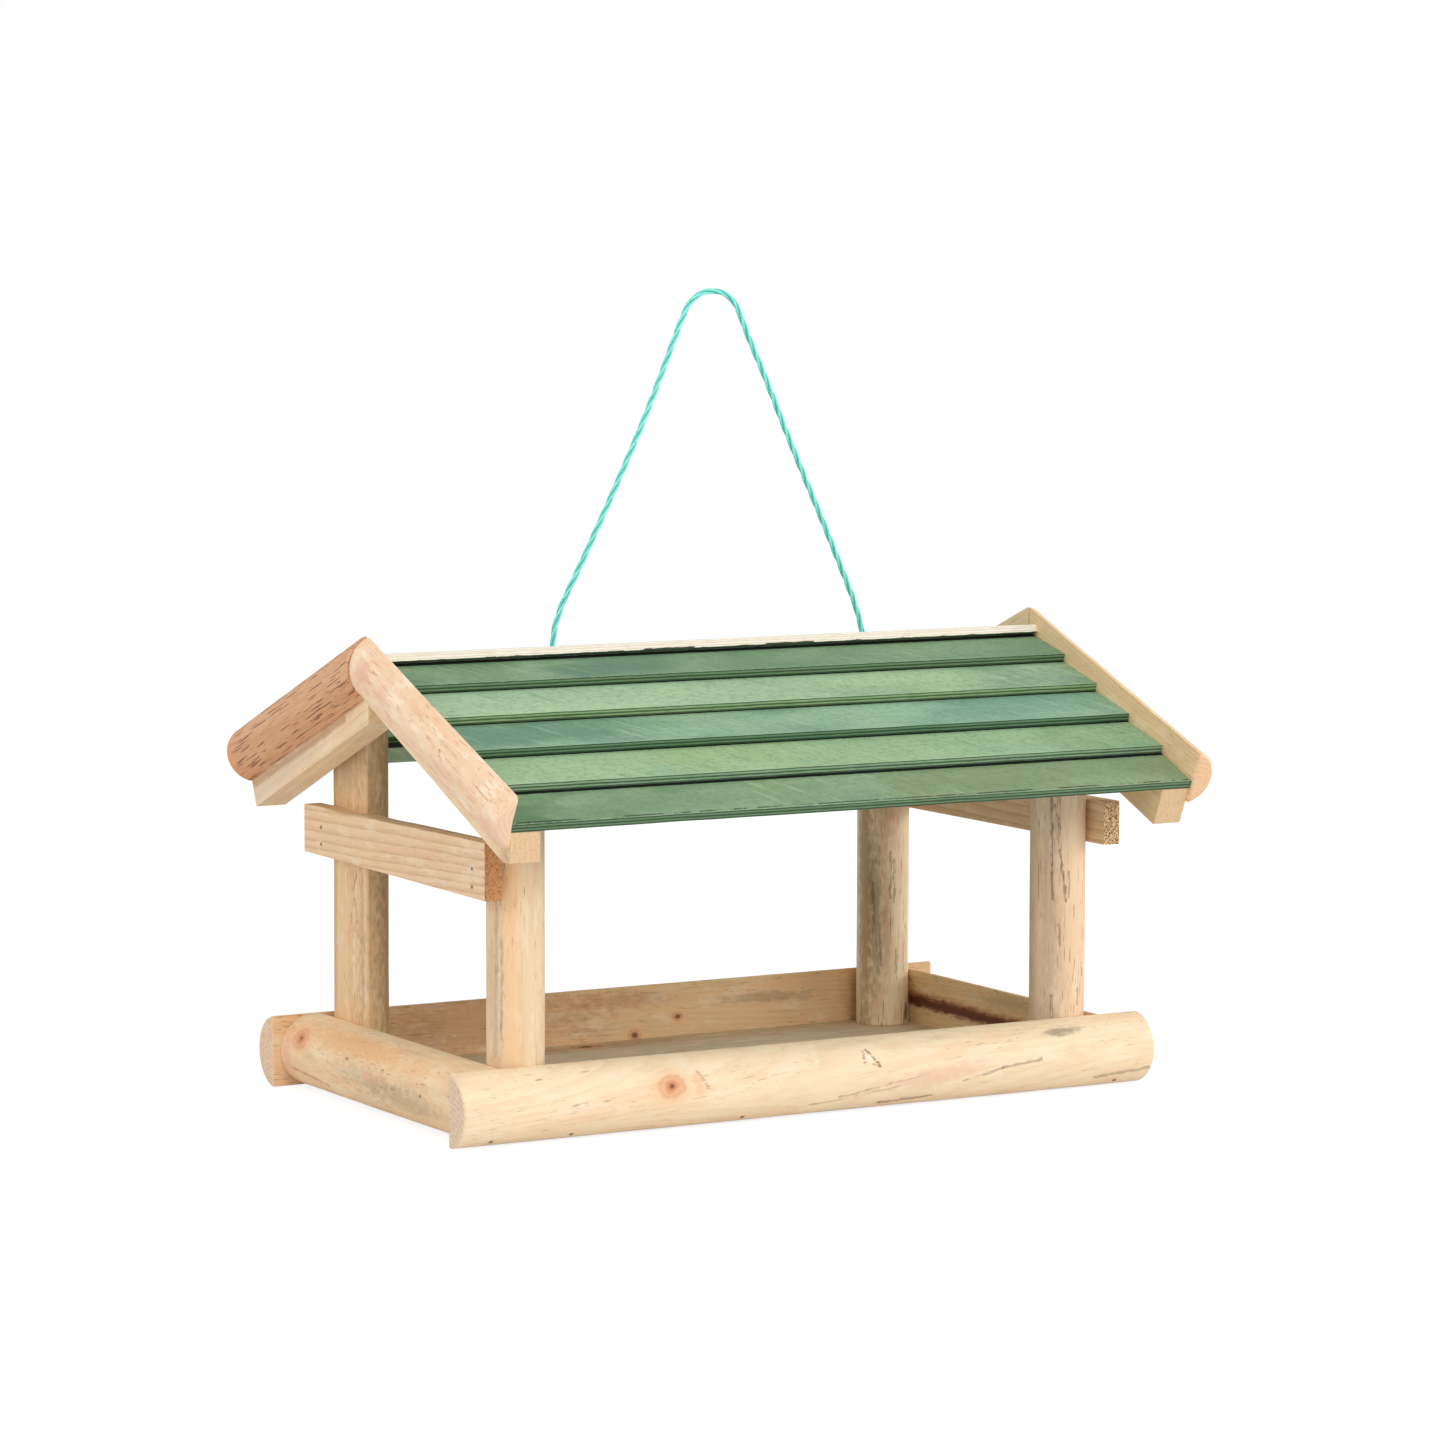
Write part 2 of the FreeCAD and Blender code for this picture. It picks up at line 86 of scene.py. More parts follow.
class Reading:
    # One socket of a node tree, so that expressions add their own nodes.
    def __init__(self, recipe, socket):
        self.recipe = recipe
        self.socket = socket

    def maths(self, operation, *others):
        return self.recipe.maths(operation, self, *others)

    def __add__(self, other):
        return self.maths("ADD", other)

    def __sub__(self, other):
        return self.maths("SUBTRACT", other)

    def __rsub__(self, other):
        return self.recipe.maths("SUBTRACT", other, self)

    def __mul__(self, other):
        return self.maths("MULTIPLY", other)

    def __truediv__(self, other):
        return self.maths("DIVIDE", other)

    def __rtruediv__(self, other):
        return self.recipe.maths("DIVIDE", other, self)

    def __pow__(self, other):
        return self.maths("POWER", other)

    __radd__ = __add__
    __rmul__ = __mul__


class Recipe:
    # The nodes of one material or world.
    def __init__(self, holder):
        holder.use_nodes = True
        self.holder = holder
        self.tree = holder.node_tree
        self.tree.nodes.clear()

    def add(self, kind, settings, sockets, out=0):
        node = self.tree.nodes.new(kind)
        for key, value in settings.items():
            setattr(node, key, value)
        for key, value in sockets.items():
            if isinstance(value, Reading):
                self.tree.links.new(value.socket, node.inputs[key])
            else:
                node.inputs[key].default_value = value
        return Reading(self, node.outputs[out]) if node.outputs else None

    def maths(self, operation, *values):
        return self.add("ShaderNodeMath", {"operation": operation}, dict(enumerate(values)))

    def vector(self, operation, first, second, out=0):
        second = tuple(second) if isinstance(second, np.ndarray) else second
        return self.add("ShaderNodeVectorMath", {"operation": operation}, {0: first, 1: second}, out)

    def scaled(self, first, amount):
        return self.add("ShaderNodeVectorMath", {"operation": "SCALE"}, {0: first, "Scale": amount})

    def along(self, point, direction):
        return self.vector("DOT_PRODUCT", point, np.array(direction, float), out=1)

    def length(self, point):
        return self.vector("LENGTH", point, (0, 0, 0), out=1)

    def blend(self, factor, under, over):
        return self.add("ShaderNodeMix", {"data_type": "RGBA"}, {0: factor, 6: under, 7: over}, out=2)

    def layered(self, colour, *layers):
        # Each layer is a mask, how much of it shows, and its colour.
        for mask, show, over in layers:
            colour = self.blend(mask * show, colour, over)
        return colour

    def spot(self, x, y, z):
        return self.add("ShaderNodeCombineXYZ", {}, {0: x, 1: y, 2: z})

    def place(self):
        return self.add("ShaderNodeTexCoord", {}, {}, out="Object")

    def layer(self, name):
        # The value that the mesh's own points carry under a name.
        return self.add("ShaderNodeAttribute", {"attribute_name": name}, {}, out="Fac")

    def noise(self, point, detail, rough=0.5):
        return self.add("ShaderNodeTexNoise", {}, {"Vector": point, "Scale": 1.0, "Detail": detail,
                                                   "Roughness": rough})

    def step(self, value, low, high):
        # Rises smoothly from 0 at low to 1 at high, or falls where low is the greater one.
        return self.add("ShaderNodeMapRange", {"interpolation_type": "SMOOTHSTEP"},
                        {0: value, 1: low, 2: high, 3: 0.0, 4: 1.0})

    def band(self, value, middle, half, soft):
        # 1 within half of the middle, falling to 0 over the soft width on both sides.
        return 1 - self.step((value - middle).maths("ABSOLUTE"), half, half + soft)

    def seen(self):
        # 1 for rays of the camera and of mirrors and glass, else 0.
        rays = [self.add("ShaderNodeLightPath", {}, {}, out=kind)
                for kind in ("Is Camera Ray", "Is Glossy Ray", "Is Transmission Ray")]
        return rays[0].maths("MAXIMUM", rays[1]).maths("MAXIMUM", rays[2])

    def finish(self, colour, roughness, height, depth, strength, **fixed):
        bump = self.add("ShaderNodeBump", {}, {"Height": height, "Distance": depth, "Strength": strength})
        shine = self.add("ShaderNodeBsdfPrincipled", {}, {"Base Color": colour, "Roughness": roughness,
                                                          "Normal": bump, **fixed})
        self.add("ShaderNodeOutputMaterial", {}, {"Surface": shine})
        return self.holder


# Pine: growth rings round a pith line, fibres along it, flecks, and marks at their own places

pineLook = {
    "pale": paint(250, 227, 193), "late": paint(222, 180, 130), "warm": paint(244, 196, 150),
    "dull": paint(205, 186, 154), "fleck": paint(118, 82, 50), "scratch": paint(146, 106, 72),
    "rose": paint(240, 186, 150), "bleach": paint(255, 238, 212), "sawn": paint(212, 176, 134),
    "sawnDark": paint(150, 104, 64),
    "ring": 0.0034, "wander": 0.008, "ringShow": 0.45, "warmShow": 0.45, "dullShow": 0.3,
    "fibreShow": 0.3, "roseShow": 0.2, "bleachShow": 0.3, "scratchShow": 0.3, "fleckShow": 0.5,
    "fleckRare": 0.66, "fleckLong": 110, "fleckFine": 950, "fleckFrom": 0.42, "poreShow": 0.6,
    "poreFrom": 0.48, "poreTo": 0.66, "rough": 0.62, "relief": 0.5, "depth": 0.0004,
}
knotLook = {"disc": paint(238, 176, 134), "rim": paint(196, 124, 84), "heart": paint(206, 126, 84),
            "pith": paint(92, 54, 34), "halo": paint(248, 198, 152), "bulge": 0.0045}
brown = paint(104, 70, 46)
rust = paint(170, 96, 56)
grey = paint(150, 132, 106)
rose = paint(238, 182, 156)


# Marks: a knot, a thin line between two places, and a soft patch drawn out along the grain

def knot(place, size, halo, heart=knotLook["heart"]):
    return ("knot", place, size, halo, heart)


def streak(start, end, width, tint, amount):
    return ("streak", start, end, width, tint, amount)


def patch(place, long, wide, tint, amount):
    return ("patch", place, long, wide, tint, amount)


def patches(on, *rows):
    # Each row is a place on the face, then the patch's length, width, colour and strength.
    return [patch(on(*row[:2]), *row[2:]) for row in rows]


def streaks(on, *rows):
    # Each row is a start and an end on the face, then the streak's width, colour and strength.
    return [streak(on(*row[:2]), on(*row[2:4]), *row[4:]) for row in rows]


def pine(name, grain, pith, seed, marks=(), **changes):
    # The grain is the fibres' direction, and the pith a place that the rings' common axis passes.
    look = {**pineLook, **changes}
    wood = Recipe(bpy.data.materials.new(name))
    grain = np.array(grain, float) / np.linalg.norm(grain)
    side = np.cross(grain, (0.31, 0.83, 0.46))
    side = side / np.linalg.norm(side)
    cross = np.cross(grain, side)
    point = wood.place()

    def apart(place):
        # The distances from a place along the grain and in the two directions across it.
        away = wood.vector("SUBTRACT", point, np.array(place, float))
        return [wood.along(away, way) for way in (grain, side, cross)]

    a, b, c = apart(pith)

    def cloud(long, fine, detail, rough=0.5, shift=(seed, 0, 0)):
        # Noise drawn out along the grain, by its counts per metre along and across it.
        return wood.noise(wood.vector("ADD", wood.spot(a * long, b * fine, c * fine), shift), detail, rough)

    fibre = cloud(45, 1300, 3.0, 0.6)
    broad = cloud(9, 60, 3.0, 0.55)
    dull = cloud(14, 75, 3.0, 0.6, (0, seed, 0))
    blush = cloud(40, 120, 2.0, 0.6, (seed, 0, seed))
    ragged = cloud(150, 420, 2.0, 0.6, (0, seed, 0)) - 0.5
    swirl = cloud(170, 240, 2.0, 0.5, (0, seed, 0)) - 0.5
    # Distance from the pith, pushed in and out by slow noise and swollen round each knot
    radius = (b * b + c * c) ** 0.5 + (cloud(5, 28, 2.0) - 0.5) * look["wander"]
    knots = []
    for place, size, halo, heart in (mark for kind, *mark in marks if kind == "knot"):
        ka, kb, kc = apart(place)
        far = (ka * ka * 0.6 + kb * kb + kc * kc) ** 0.5 / size + swirl * 0.6
        radius = radius + knotLook["bulge"] / (far * far + 1)
        knots.append((far, halo, heart))
    turn = (radius / look["ring"]).maths("FRACT")
    late = turn ** 2.4 * (1 - wood.step(turn, 0.9, 1.0))
    # Short scratches where the bark was shaved off, and flecks of it left behind
    scratch = wood.step(cloud(26, 620, 3.0, 0.65), 0.60, 0.68) * wood.step(dull, 0.40, 0.60)
    rare = look["fleckRare"]
    speck = wood.step(cloud(look["fleckLong"], look["fleckFine"], 1.0), rare, rare + 0.06)
    fleck = speck * wood.step(broad, look["fleckFrom"], look["fleckFrom"] + 0.15)
    colour = wood.layered(
        look["pale"],
        (late, look["ringShow"], look["late"]),
        (wood.step(broad, 0.48, 0.72), look["warmShow"], look["warm"]),
        (wood.step(dull, 0.50, 0.74), look["dullShow"], look["dull"]),
        (wood.step(fibre, 0.45, 0.75), look["fibreShow"], look["late"]),
        (wood.step(blush, 0.52, 0.68), look["roseShow"], look["rose"]),
        (wood.step(blush, 0.46, 0.34), look["bleachShow"], look["bleach"]),
        (scratch, look["scratchShow"], look["scratch"]),
        (fleck, look["fleckShow"], look["fleck"]))
    height = fibre * 0.5 + late * 0.25 - fleck * 0.8 - scratch * look["scratchShow"]
    for kind, *mark in marks:
        if kind == "patch":
            place, long, wide, tint, amount = mark
            pa, pb, pc = apart(place)
            far = ((pa / long) ** 2.0 + (pb * pb + pc * pc) / wide ** 2) ** 0.5
            soft = 1 - wood.step(far + ragged * 0.9 + swirl * 0.9, 0.2, 1.1)
            colour = wood.blend(soft * amount, colour, tint)
        elif kind == "streak":
            # Distance to a segment: the part along it is kept between its ends.
            start, end, width, tint, amount = mark
            run = np.array(end, float) - np.array(start, float)
            away = wood.vector("SUBTRACT", point, np.array(start, float))
            share = wood.add("ShaderNodeClamp", {}, {0: wood.along(away, run / np.dot(run, run))})
            off = wood.vector("SUBTRACT", away, wood.scaled(tuple(run), share))
            off = wood.vector("ADD", off, wood.scaled(tuple(side + cross), swirl * 0.003))
            far = (wood.length(off) + ragged * 0.002 + (fibre - 0.5) * 0.004) / width
            line = 1 - wood.step(far, 0.4, 1.7)
            colour = wood.blend(line * amount, colour, tint)
            height = height - line * amount
    for far, halo, heart in knots:
        colour = wood.layered(
            colour,
            (1 - wood.step(far, 0.9, 2.3), halo, knotLook["halo"]),
            (1 - wood.step(far, 0.5, 1.25), 0.75, knotLook["disc"]),
            (wood.band(far, 0.95, 0.02, 0.3), 0.28, knotLook["rim"]),
            (1 - wood.step(far, 0.22, 0.8), 0.8, heart),
            (1 - wood.step(far, 0.03, 0.30), 0.9, knotLook["pith"]))
    # Sawn ends show the rings as circles, with open pores and the saw's scratches
    pores = cloud(300, 900, 3.0, 0.75, (0, 0, 0))
    saw = wood.noise(wood.spot(a * 10, b * 90 + c * 30, c * 1400 - b * 500), 1.0)
    ends = wood.layered(
        look["sawn"],
        (late, 0.5, look["late"]),
        (wood.step(pores, look["poreFrom"], look["poreTo"]), look["poreShow"], look["sawnDark"]),
        (wood.step(saw, 0.5, 0.8), 0.25, look["pale"]))
    cut = wood.layer("cut")
    colour = wood.blend(cut, colour, ends)
    height = height + cut * (pores * 1.4 + saw * 0.4)
    return wood.finish(colour, fibre * 0.12 + look["rough"], height, look["depth"], look["relief"])


# Forms: an outline in two directions, carried along a third

def logOutline(radius, offset, flats, count=144):
    # At each angle round a point inside, the distance to the log's circle and to each sawn flat;
    # the nearest one counts, with the arrises very slightly rounded by a high power mean.
    angle = np.linspace(0, 2 * np.pi, count, endpoint=False)
    ray = np.stack([np.cos(angle), np.sin(angle)], 1)
    lean = ray @ np.array(offset)
    reach = [lean + np.sqrt(lean ** 2 - np.dot(offset, offset) + radius ** 2)]
    glancing = 0.02
    never = 50 * radius
    power = 90.0
    for way, depth in flats:
        facing = ray @ np.array(way)
        reach.append(np.where(facing > glancing, depth / np.maximum(facing, glancing), never))
    blended = radius * sum((one / radius) ** -power for one in reach) ** (-1 / power)
    return ray * blended[:, None]


def cornered(places, radius, spacing):
    # A polygon with each corner turned into a short arc, and points along its straight sides.
    places = np.array(places, float)
    outline = []
    for before, corner, after in zip(np.roll(places, 1, 0), places, np.roll(places, -1, 0)):
        back = (before - corner) / np.linalg.norm(before - corner)
        ahead = (after - corner) / np.linalg.norm(after - corner)
        share = np.linspace(0, 1, 4)[:, None]    # the points round a corner
        first = corner + back * radius
        last = corner + ahead * radius
        arc = (1 - share) ** 2 * first + 2 * share * (1 - share) * corner + share ** 2 * last
        run = np.linalg.norm(after - corner) - 2 * radius
        count = max(int(run / spacing), 1)
        straight = last + ahead * run * (np.arange(1, count) / count)[:, None]
        outline.append(np.vstack([arc, straight]))
    return np.vstack(outline)


def outward(outline):
    # At each point, the run from the one before to the one after, turned a quarter outward.
    run = np.roll(outline, -1, 0) - np.roll(outline, 1, 0)
    normal = np.stack([run[:, 1], -run[:, 0]], 1)
    return normal / np.linalg.norm(normal, axis=1)[:, None]


def ringFaces(count, around, first):
    # Quads between rings of equal length, and a fan at each end onto the two poles after them.
    ring, spot = np.meshgrid(np.arange(count - 1), np.arange(around), indexing="ij")
    here = ring * around + spot
    beside = ring * around + (spot + 1) % around
    quads = np.stack([here, beside, beside + around, here + around], -1).reshape(-1, 4)
    spot = np.arange(around)
    top = (count - 1) * around
    pole = count * around
    fans = np.vstack([np.stack([(spot + 1) % around, spot, np.full(around, pole)], 1),
                      np.stack([top + spot, top + (spot + 1) % around, np.full(around, pole + 1)], 1)])
    return quads + first, fans + first


def closedMesh(name, shells, cut=None):
    # Each shell is its rings and its two poles. Faces that look inward are turned round: as seen
    # from one point of the shell, they add up to a volume below nothing.
    sharp = math.radians(40)
    points = []
    faces = []
    first = 0
    for rings, poles in shells:
        own = np.vstack([rings.reshape(-1, 3), poles])
        quads, fans = ringFaces(*rings.shape[:2], first)
        one, two, three = (own[quads[:, k] - first] - own[0] for k in range(3))
        if np.sum(np.cross(one, two) * three) < 0:
            quads = quads[:, ::-1]
            fans = fans[:, ::-1]
        points.append(own)
        faces += quads.tolist() + fans.tolist()
        first += len(own)
    mesh = bpy.data.meshes.new(name)
    mesh.from_pydata(np.vstack(points).tolist(), [], faces)
    if cut is not None:
        layer = mesh.attributes.new("cut", "FLOAT", "POINT")
        layer.data.foreach_set("value", cut.astype(np.float32))
    mesh.shade_smooth()
    mesh.set_sharp_from_angle(angle=sharp)
    piece = bpy.data.objects.new(name, mesh)
    bpy.context.scene.collection.objects.link(piece)
    return piece


def uneven(angle, run, seed):
    # Hand-peeled wood: a few slow waves round and along the log, each with its own phase.
    phase = np.random.default_rng(seed).uniform(0, 2 * np.pi, 6)
    return (np.sin(2 * angle + 9 * run + phase[0]) + 0.6 * np.sin(3 * angle - 17 * run + phase[1])
            + 0.5 * np.sin(angle + 31 * run + phase[2]) + 0.3 * np.sin(5 * angle + 43 * run + phase[3])
            + 0.2 * np.sin(4 * angle + 130 * run + phase[4])) / 2.6


def carried(name, outline, startOf, endOf, put, edge, rows, wobble=0.0, seed=0, sawn=None):
    # The outline goes from a start surface to an end surface; near both it draws in along a
    # quarter circle, so that the end's arris is rounded, and its middle closes on a pole. What was
    # sawn across the grain is both ends, unless a test of the outline's own points says so.
    normal = outward(outline)
    middle = outline.mean(0)
    inward = (middle - outline) / np.linalg.norm(middle - outline, axis=1)[:, None]
    angle = np.arctan2(outline[:, 1] - middle[1], outline[:, 0] - middle[0])
    turn = np.linspace(0, np.pi / 2, 5)    # the rings round an arris
    rim = outline + inward * edge
    rounds = [outline + inward * edge * (1 - np.sin(t)) for t in turn]
    discs = [middle + (rim - middle) * share for share in (0.12, 0.35, 0.6, 0.82)]
    rings = []
    cut = []

    def ring(form, run, amount):
        rings.append(put(form, run))
        cut.append(sawn(form) if sawn else np.full(len(form), amount))

    for disc in discs:
        ring(disc, startOf(disc), 1.0)
    for t, form in zip(turn, rounds):
        ring(form, startOf(form) + edge * (1 - np.cos(t)), 1 - math.sin(t))
    for share in np.linspace(0, 1, rows + 2)[1:-1]:
        run = (1 - share) * (startOf(outline) + edge) + share * (endOf(outline) - edge)
        swell = wobble * math.sin(math.pi * share) ** 0.5 * uneven(angle, run, seed)
        ring(outline + normal * swell[:, None], run, 0.0)
    for t, form in zip(turn[::-1], rounds[::-1]):
        ring(form, endOf(form) - edge * (1 - np.cos(t)), 1 - math.sin(t))
    for disc in discs[::-1]:
        ring(disc, endOf(disc), 1.0)
    centre = middle[None]
    poles = np.vstack([put(centre, startOf(centre)), put(centre, endOf(centre))])
    cut.append(np.full(2, 0.0 if sawn else 1.0))
    return closedMesh(name, [(np.array(rings), poles)], np.concatenate(cut))


def fixed(value):
    # A square end: the carried outline's points all stop at the same run.
    return lambda form: np.full(len(form), value)


def lay(x, y, z):
    # Three coordinates, each an array or a single number, as rows of points.
    return np.stack(np.broadcast_arrays(x, y, z), -1)


def corners(node):
    # The lower and upper corner of a CAD node's box.
    return [np.array(corner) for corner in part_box(node)]


def dress(piece, node, material):
    # A finished piece: its material, its body, and the node that it stands for.
    piece.data.materials.append(material)
    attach(piece, "root")
    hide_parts(node)
    return piece


# Rope: the route's corners as part of one smooth line, then three strands laid round it

ropeLook = {"diameter": 0.0038, "length": 0.5183, "lay": 0.038, "strand": 0.00092, "sides": 12,
            "spacing": 0.0008,
            "bright": paint(146, 246, 232), "deep": paint(84, 206, 192), "grooveShade": paint(44, 158, 144)}
ropeRoute = [(-0.1049, 0.01011, 0.26968)] + [(x, 0.01377, z) for x, z in (
    (-0.1049, 0.28111), (-0.0995, 0.3010), (-0.0875, 0.3225), (-0.0640, 0.3675), (-0.0415, 0.4130),
    (-0.0285, 0.4425), (-0.0175, 0.4685), (-0.0090, 0.4878), (-0.0013, 0.4942), (0.0084, 0.4966),
    (0.0182, 0.4944), (0.0260, 0.4881), (0.0345, 0.4675), (0.0465, 0.4435), (0.0640, 0.4040),
    (0.0880, 0.3540), (0.1045, 0.3185), (0.1135, 0.2985), (0.1192, 0.28111),
)] + [(0.1192, 0.01011, 0.26968)]


def smoothLine(route, spacing):
    # Points along the NURBS line of the route, spaced evenly by length.
    curve = bpy.data.curves.new("ropeLine", "CURVE")
    curve.dimensions = "3D"
    spline = curve.splines.new("NURBS")
    spline.points.add(len(route) - 1)
    spline.points.foreach_set("co", np.hstack([np.array(route), np.ones((len(route), 1))]).ravel())
    spline.order_u = 3
    spline.use_endpoint_u = True
    spline.resolution_u = 24
    holder = bpy.data.objects.new("ropeLine", curve)
    mesh = bpy.data.meshes.new_from_object(holder)
    points = np.zeros(len(mesh.vertices) * 3)
    mesh.vertices.foreach_get("co", points)
    points = points.reshape(-1, 3)
    bpy.data.objects.remove(holder)
    run = np.append(0, np.cumsum(np.linalg.norm(np.diff(points, axis=0), axis=1)))
    even = np.linspace(0, run[-1], int(run[-1] / spacing))
    return np.stack([np.interp(even, run, points[:, k]) for k in range(3)], 1)


def strands(name, path, guide, thin=1.0):
    # Three round strands, each winding about the path once in every lay length. What faces the
    # rope's own middle is marked for painted shade in the groove between the strands.
    ahead = np.gradient(path, axis=0)
    ahead /= np.linalg.norm(ahead, axis=1)[:, None]
    first = np.cross(ahead, guide)
    first /= np.linalg.norm(first, axis=1)[:, None]
    second = np.cross(ahead, first)
    run = np.append(0, np.cumsum(np.linalg.norm(np.diff(path, axis=0), axis=1)))
    radius = ropeLook["strand"] * thin
    out = ropeLook["diameter"] * thin / 2 - radius
    around = np.linspace(0, 2 * np.pi, ropeLook["sides"], endpoint=False)
    shells = []
    grooveShade = []
    for third in range(3):
        turn = 2 * np.pi * (run / (ropeLook["lay"] * thin) + third / 3)
        centre = path + out * (np.cos(turn)[:, None] * first + np.sin(turn)[:, None] * second)
        rings = centre[:, None] + radius * (np.cos(around)[None, :, None] * first[:, None]
                                            + np.sin(around)[None, :, None] * second[:, None])
        shells.append((rings, np.array([centre[0], centre[-1]])))
        facing = np.cos(around[None, :] - turn[:, None])
        grooveShade += [np.clip((0.75 - facing) / 0.7, 0, 1).ravel(), np.zeros(2)]
    return closedMesh(name, shells, np.concatenate(grooveShade))


def ropePaint():
    yarn = Recipe(bpy.data.materials.new("turquoiseRope"))
    hair = yarn.noise(yarn.scaled(yarn.place(), 1700.0), 2.0, 0.6)
    cloud = yarn.noise(yarn.scaled(yarn.place(), 160.0), 2.0, 0.6)
    colour = yarn.blend(yarn.step(hair, 0.35, 0.7) * 0.6 + yarn.step(cloud, 0.5, 0.7) * 0.35,
                        ropeLook["bright"], ropeLook["deep"])
    # Painted shade: the strands are darker where they face the rope's middle, in the grooves between them
    colour = yarn.blend(yarn.layer("cut") * 0.5, colour, ropeLook["grooveShade"])
    return yarn.finish(colour, hair * 0.2 + 0.32, hair, 0.0001, 0.5)


ropeFinish = ropePaint()
ropePath = smoothLine(ropeRoute, ropeLook["spacing"])
rope = strands("ropeLoop", ropePath, (0, 1, 0))
dress(rope, "rope", ropeFinish)

# Stopper knots: a trefoil of the same rope, pulled up against the board from below
stopperLook = {"spread": 0.00135, "height": 0.0029, "thin": 0.86, "open": 0.12, "stops": 170}


def stopper(name, node):
    low, high = corners(node)
    middle = (low + high) / 2
    square = np.array(ropeRoute[1]) - np.array(ropeRoute[0])
    square /= np.linalg.norm(square)
    wide = np.array([1.0, 0, 0])
    deep = np.cross(square, wide)
    t = np.linspace(stopperLook["open"], 2 * np.pi - stopperLook["open"], stopperLook["stops"])[:, None]
    path = (middle + stopperLook["spread"] * ((np.sin(t) + 2 * np.sin(2 * t)) * wide
                                              + (np.cos(t) - 2 * np.cos(2 * t)) * deep)
            - stopperLook["height"] * np.sin(3 * t) * square)
    return dress(strands(name, path, tuple(square), stopperLook["thin"]), node, ropeFinish)


stoppers = [stopper("leftStopper", "knot_left"), stopper("rightStopper", "knot_right")]
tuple(ropeRoute[0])
print("rope laid")


# Tray rails: half-round logs, with a thicker one on the left

railLook = {"radius": 0.0225, "longAt": 0.119, "sideAt": 0.217, "wobble": 0.0003, "edge": 0.0016,
            "sideEdge": 0.0006, "rows": 60, "sideRows": 40,
            "nailHigh": 0.004, "nailsAlong": (-0.223, -0.1695, -0.053, 0.217)}


def rail(name, node, across, outer, seed, wood):
    # The outline lies across X or Y, axis 0 or 1, round a point inside the log. Its flat side looks
    # back to the tray, and the round one outward, to the axis' lower or upper end.
    low, high = corners(node)
    radius = railLook["radius"]
    along = 1 - across
    thick = high[across] - low[across]
    flat = high[across] if outer < 0 else low[across]
    inside = np.array([flat + outer * thick / 2, radius])
    centre = np.array([flat + outer * (thick - radius), radius])
    outline = logOutline(radius, centre - inside, [((-outer, 0), thick / 2)])
    edge, rows = ("sideEdge", "sideRows") if along else ("edge", "rows")

    def put(form, run):
        out = form[:, 0] + inside[0]
        x, y = (out, run) if along else (run, out)
        return lay(x, y, form[:, 1] + inside[1])

    return dress(carried(name, outline, fixed(low[along]), fixed(high[along]), put, railLook[edge],
                         railLook[rows], railLook["wobble"], seed), node, wood)


def roundOut(z):
    # How far a rail's round face stands out from its log's middle line at a height.
    return math.sqrt(railLook["radius"] ** 2 - (z - railLook["radius"]) ** 2)


def onFront(x, z):
    # The front rail's round face.
    return (x, -railLook["longAt"] - roundOut(z), z)


def onLeft(y, z):
    # The left rail's round face.
    return (-railLook["sideAt"] - roundOut(z), y, z)


def onBack(x, z):
    # The back rail's flat inner face.
    return (x, 0.121, z)


def onRight(y, z):
    # The right rail's flat inner face.
    return (0.209, y, z)


# The nail heads' places on the round faces, as far along and up as in the solids
frontSpots = [onFront(x, railLook["nailHigh"]) for x in railLook["nailsAlong"]]
railSpots = frontSpots + [(-x, -y, z) for x, y, z in frontSpots]

frontMarks = (
    [knot(onFront(-0.1064, 0.0283), 0.0068, 0.6)]
    + patches(onFront, (-0.0878, 0.0289, 0.006, 0.010, paint(246, 194, 154), 0.7))
    + streaks(onFront, (-0.0870, 0.0355, -0.0815, 0.0255, 0.0009, rust, 0.35))
    + patches(onFront, (0.0335, 0.0345, 0.0035, 0.0055, paint(255, 240, 214), 0.8))
    + streaks(onFront,
              (0.0295, 0.0380, 0.0285, 0.0310, 0.0006, brown, 0.5),
              (0.0318, 0.0385, 0.0388, 0.0290, 0.0009, rust, 0.8),
              (0.0290, 0.0315, 0.0388, 0.0288, 0.0005, rust, 0.5),
              (-0.018, 0.007, 0.0535, 0.0152, 0.0005, brown, 0.4),
              (0.0116, 0.0117, 0.0736, 0.0211, 0.0005, grey, 0.5),
              (0.100, 0.0146, 0.1276, 0.0203, 0.0007, brown, 0.45),
              (0.1276, 0.0203, 0.1555, 0.0237, 0.0008, brown, 0.5),
              (0.199, 0.0078, 0.2383, 0.0112, 0.0011, grey, 0.6),
              (0.042, 0.0045, 0.080, 0.0062, 0.0010, brown, 0.6))
    + patches(onFront,
              (0.1766, 0.0388, 0.020, 0.0045, grey, 0.75),
              (0.09, 0.0415, 0.06, 0.004, grey, 0.12),
              (0.02, 0.042, 0.07, 0.004, grey, 0.12),
              (0.08, 0.020, 0.05, 0.008, rose, 0.5),
              (-0.161, 0.0405, 0.004, 0.0012, brown, 0.35),
              (-0.1716, 0.0226, 0.0035, 0.001, brown, 0.4),
              (-0.1505, 0.0235, 0.004, 0.0008, grey, 0.6),
              (-0.1932, 0.0386, 0.003, 0.0008, grey, 0.6))
    # Painted shade: a dark ring round each nail head, standing in for the shadow of a sunk head
    + [patch(spot, 0.0022, 0.0022, brown, 0.5) for spot in frontSpots])
leftMarks = (
    [knot(onLeft(0.0975, 0.0338), 0.0068, 0.9)]
    + patches(onLeft,
              (0.112, 0.022, 0.008, 0.024, rose, 0.7),
              (0.0, 0.0225, 0.060, 0.010, grey, 0.30),
              (0.0014, 0.0245, 0.006, 0.0035, rose, 0.9),
              (-0.0729, 0.0235, 0.0022, 0.0014, brown, 0.8),
              (0.0291, 0.0308, 0.003, 0.0014, brown, 0.7),
              (-0.02, 0.031, 0.003, 0.0012, grey, 0.8),
              (-0.05, 0.017, 0.07, 0.010, grey, 0.4),
              (0.03, 0.039, 0.11, 0.011, paint(236, 182, 126), 0.7))
    + streaks(onLeft, (0.105, 0.014, 0.060, 0.010, 0.0008, rust, 0.5)))
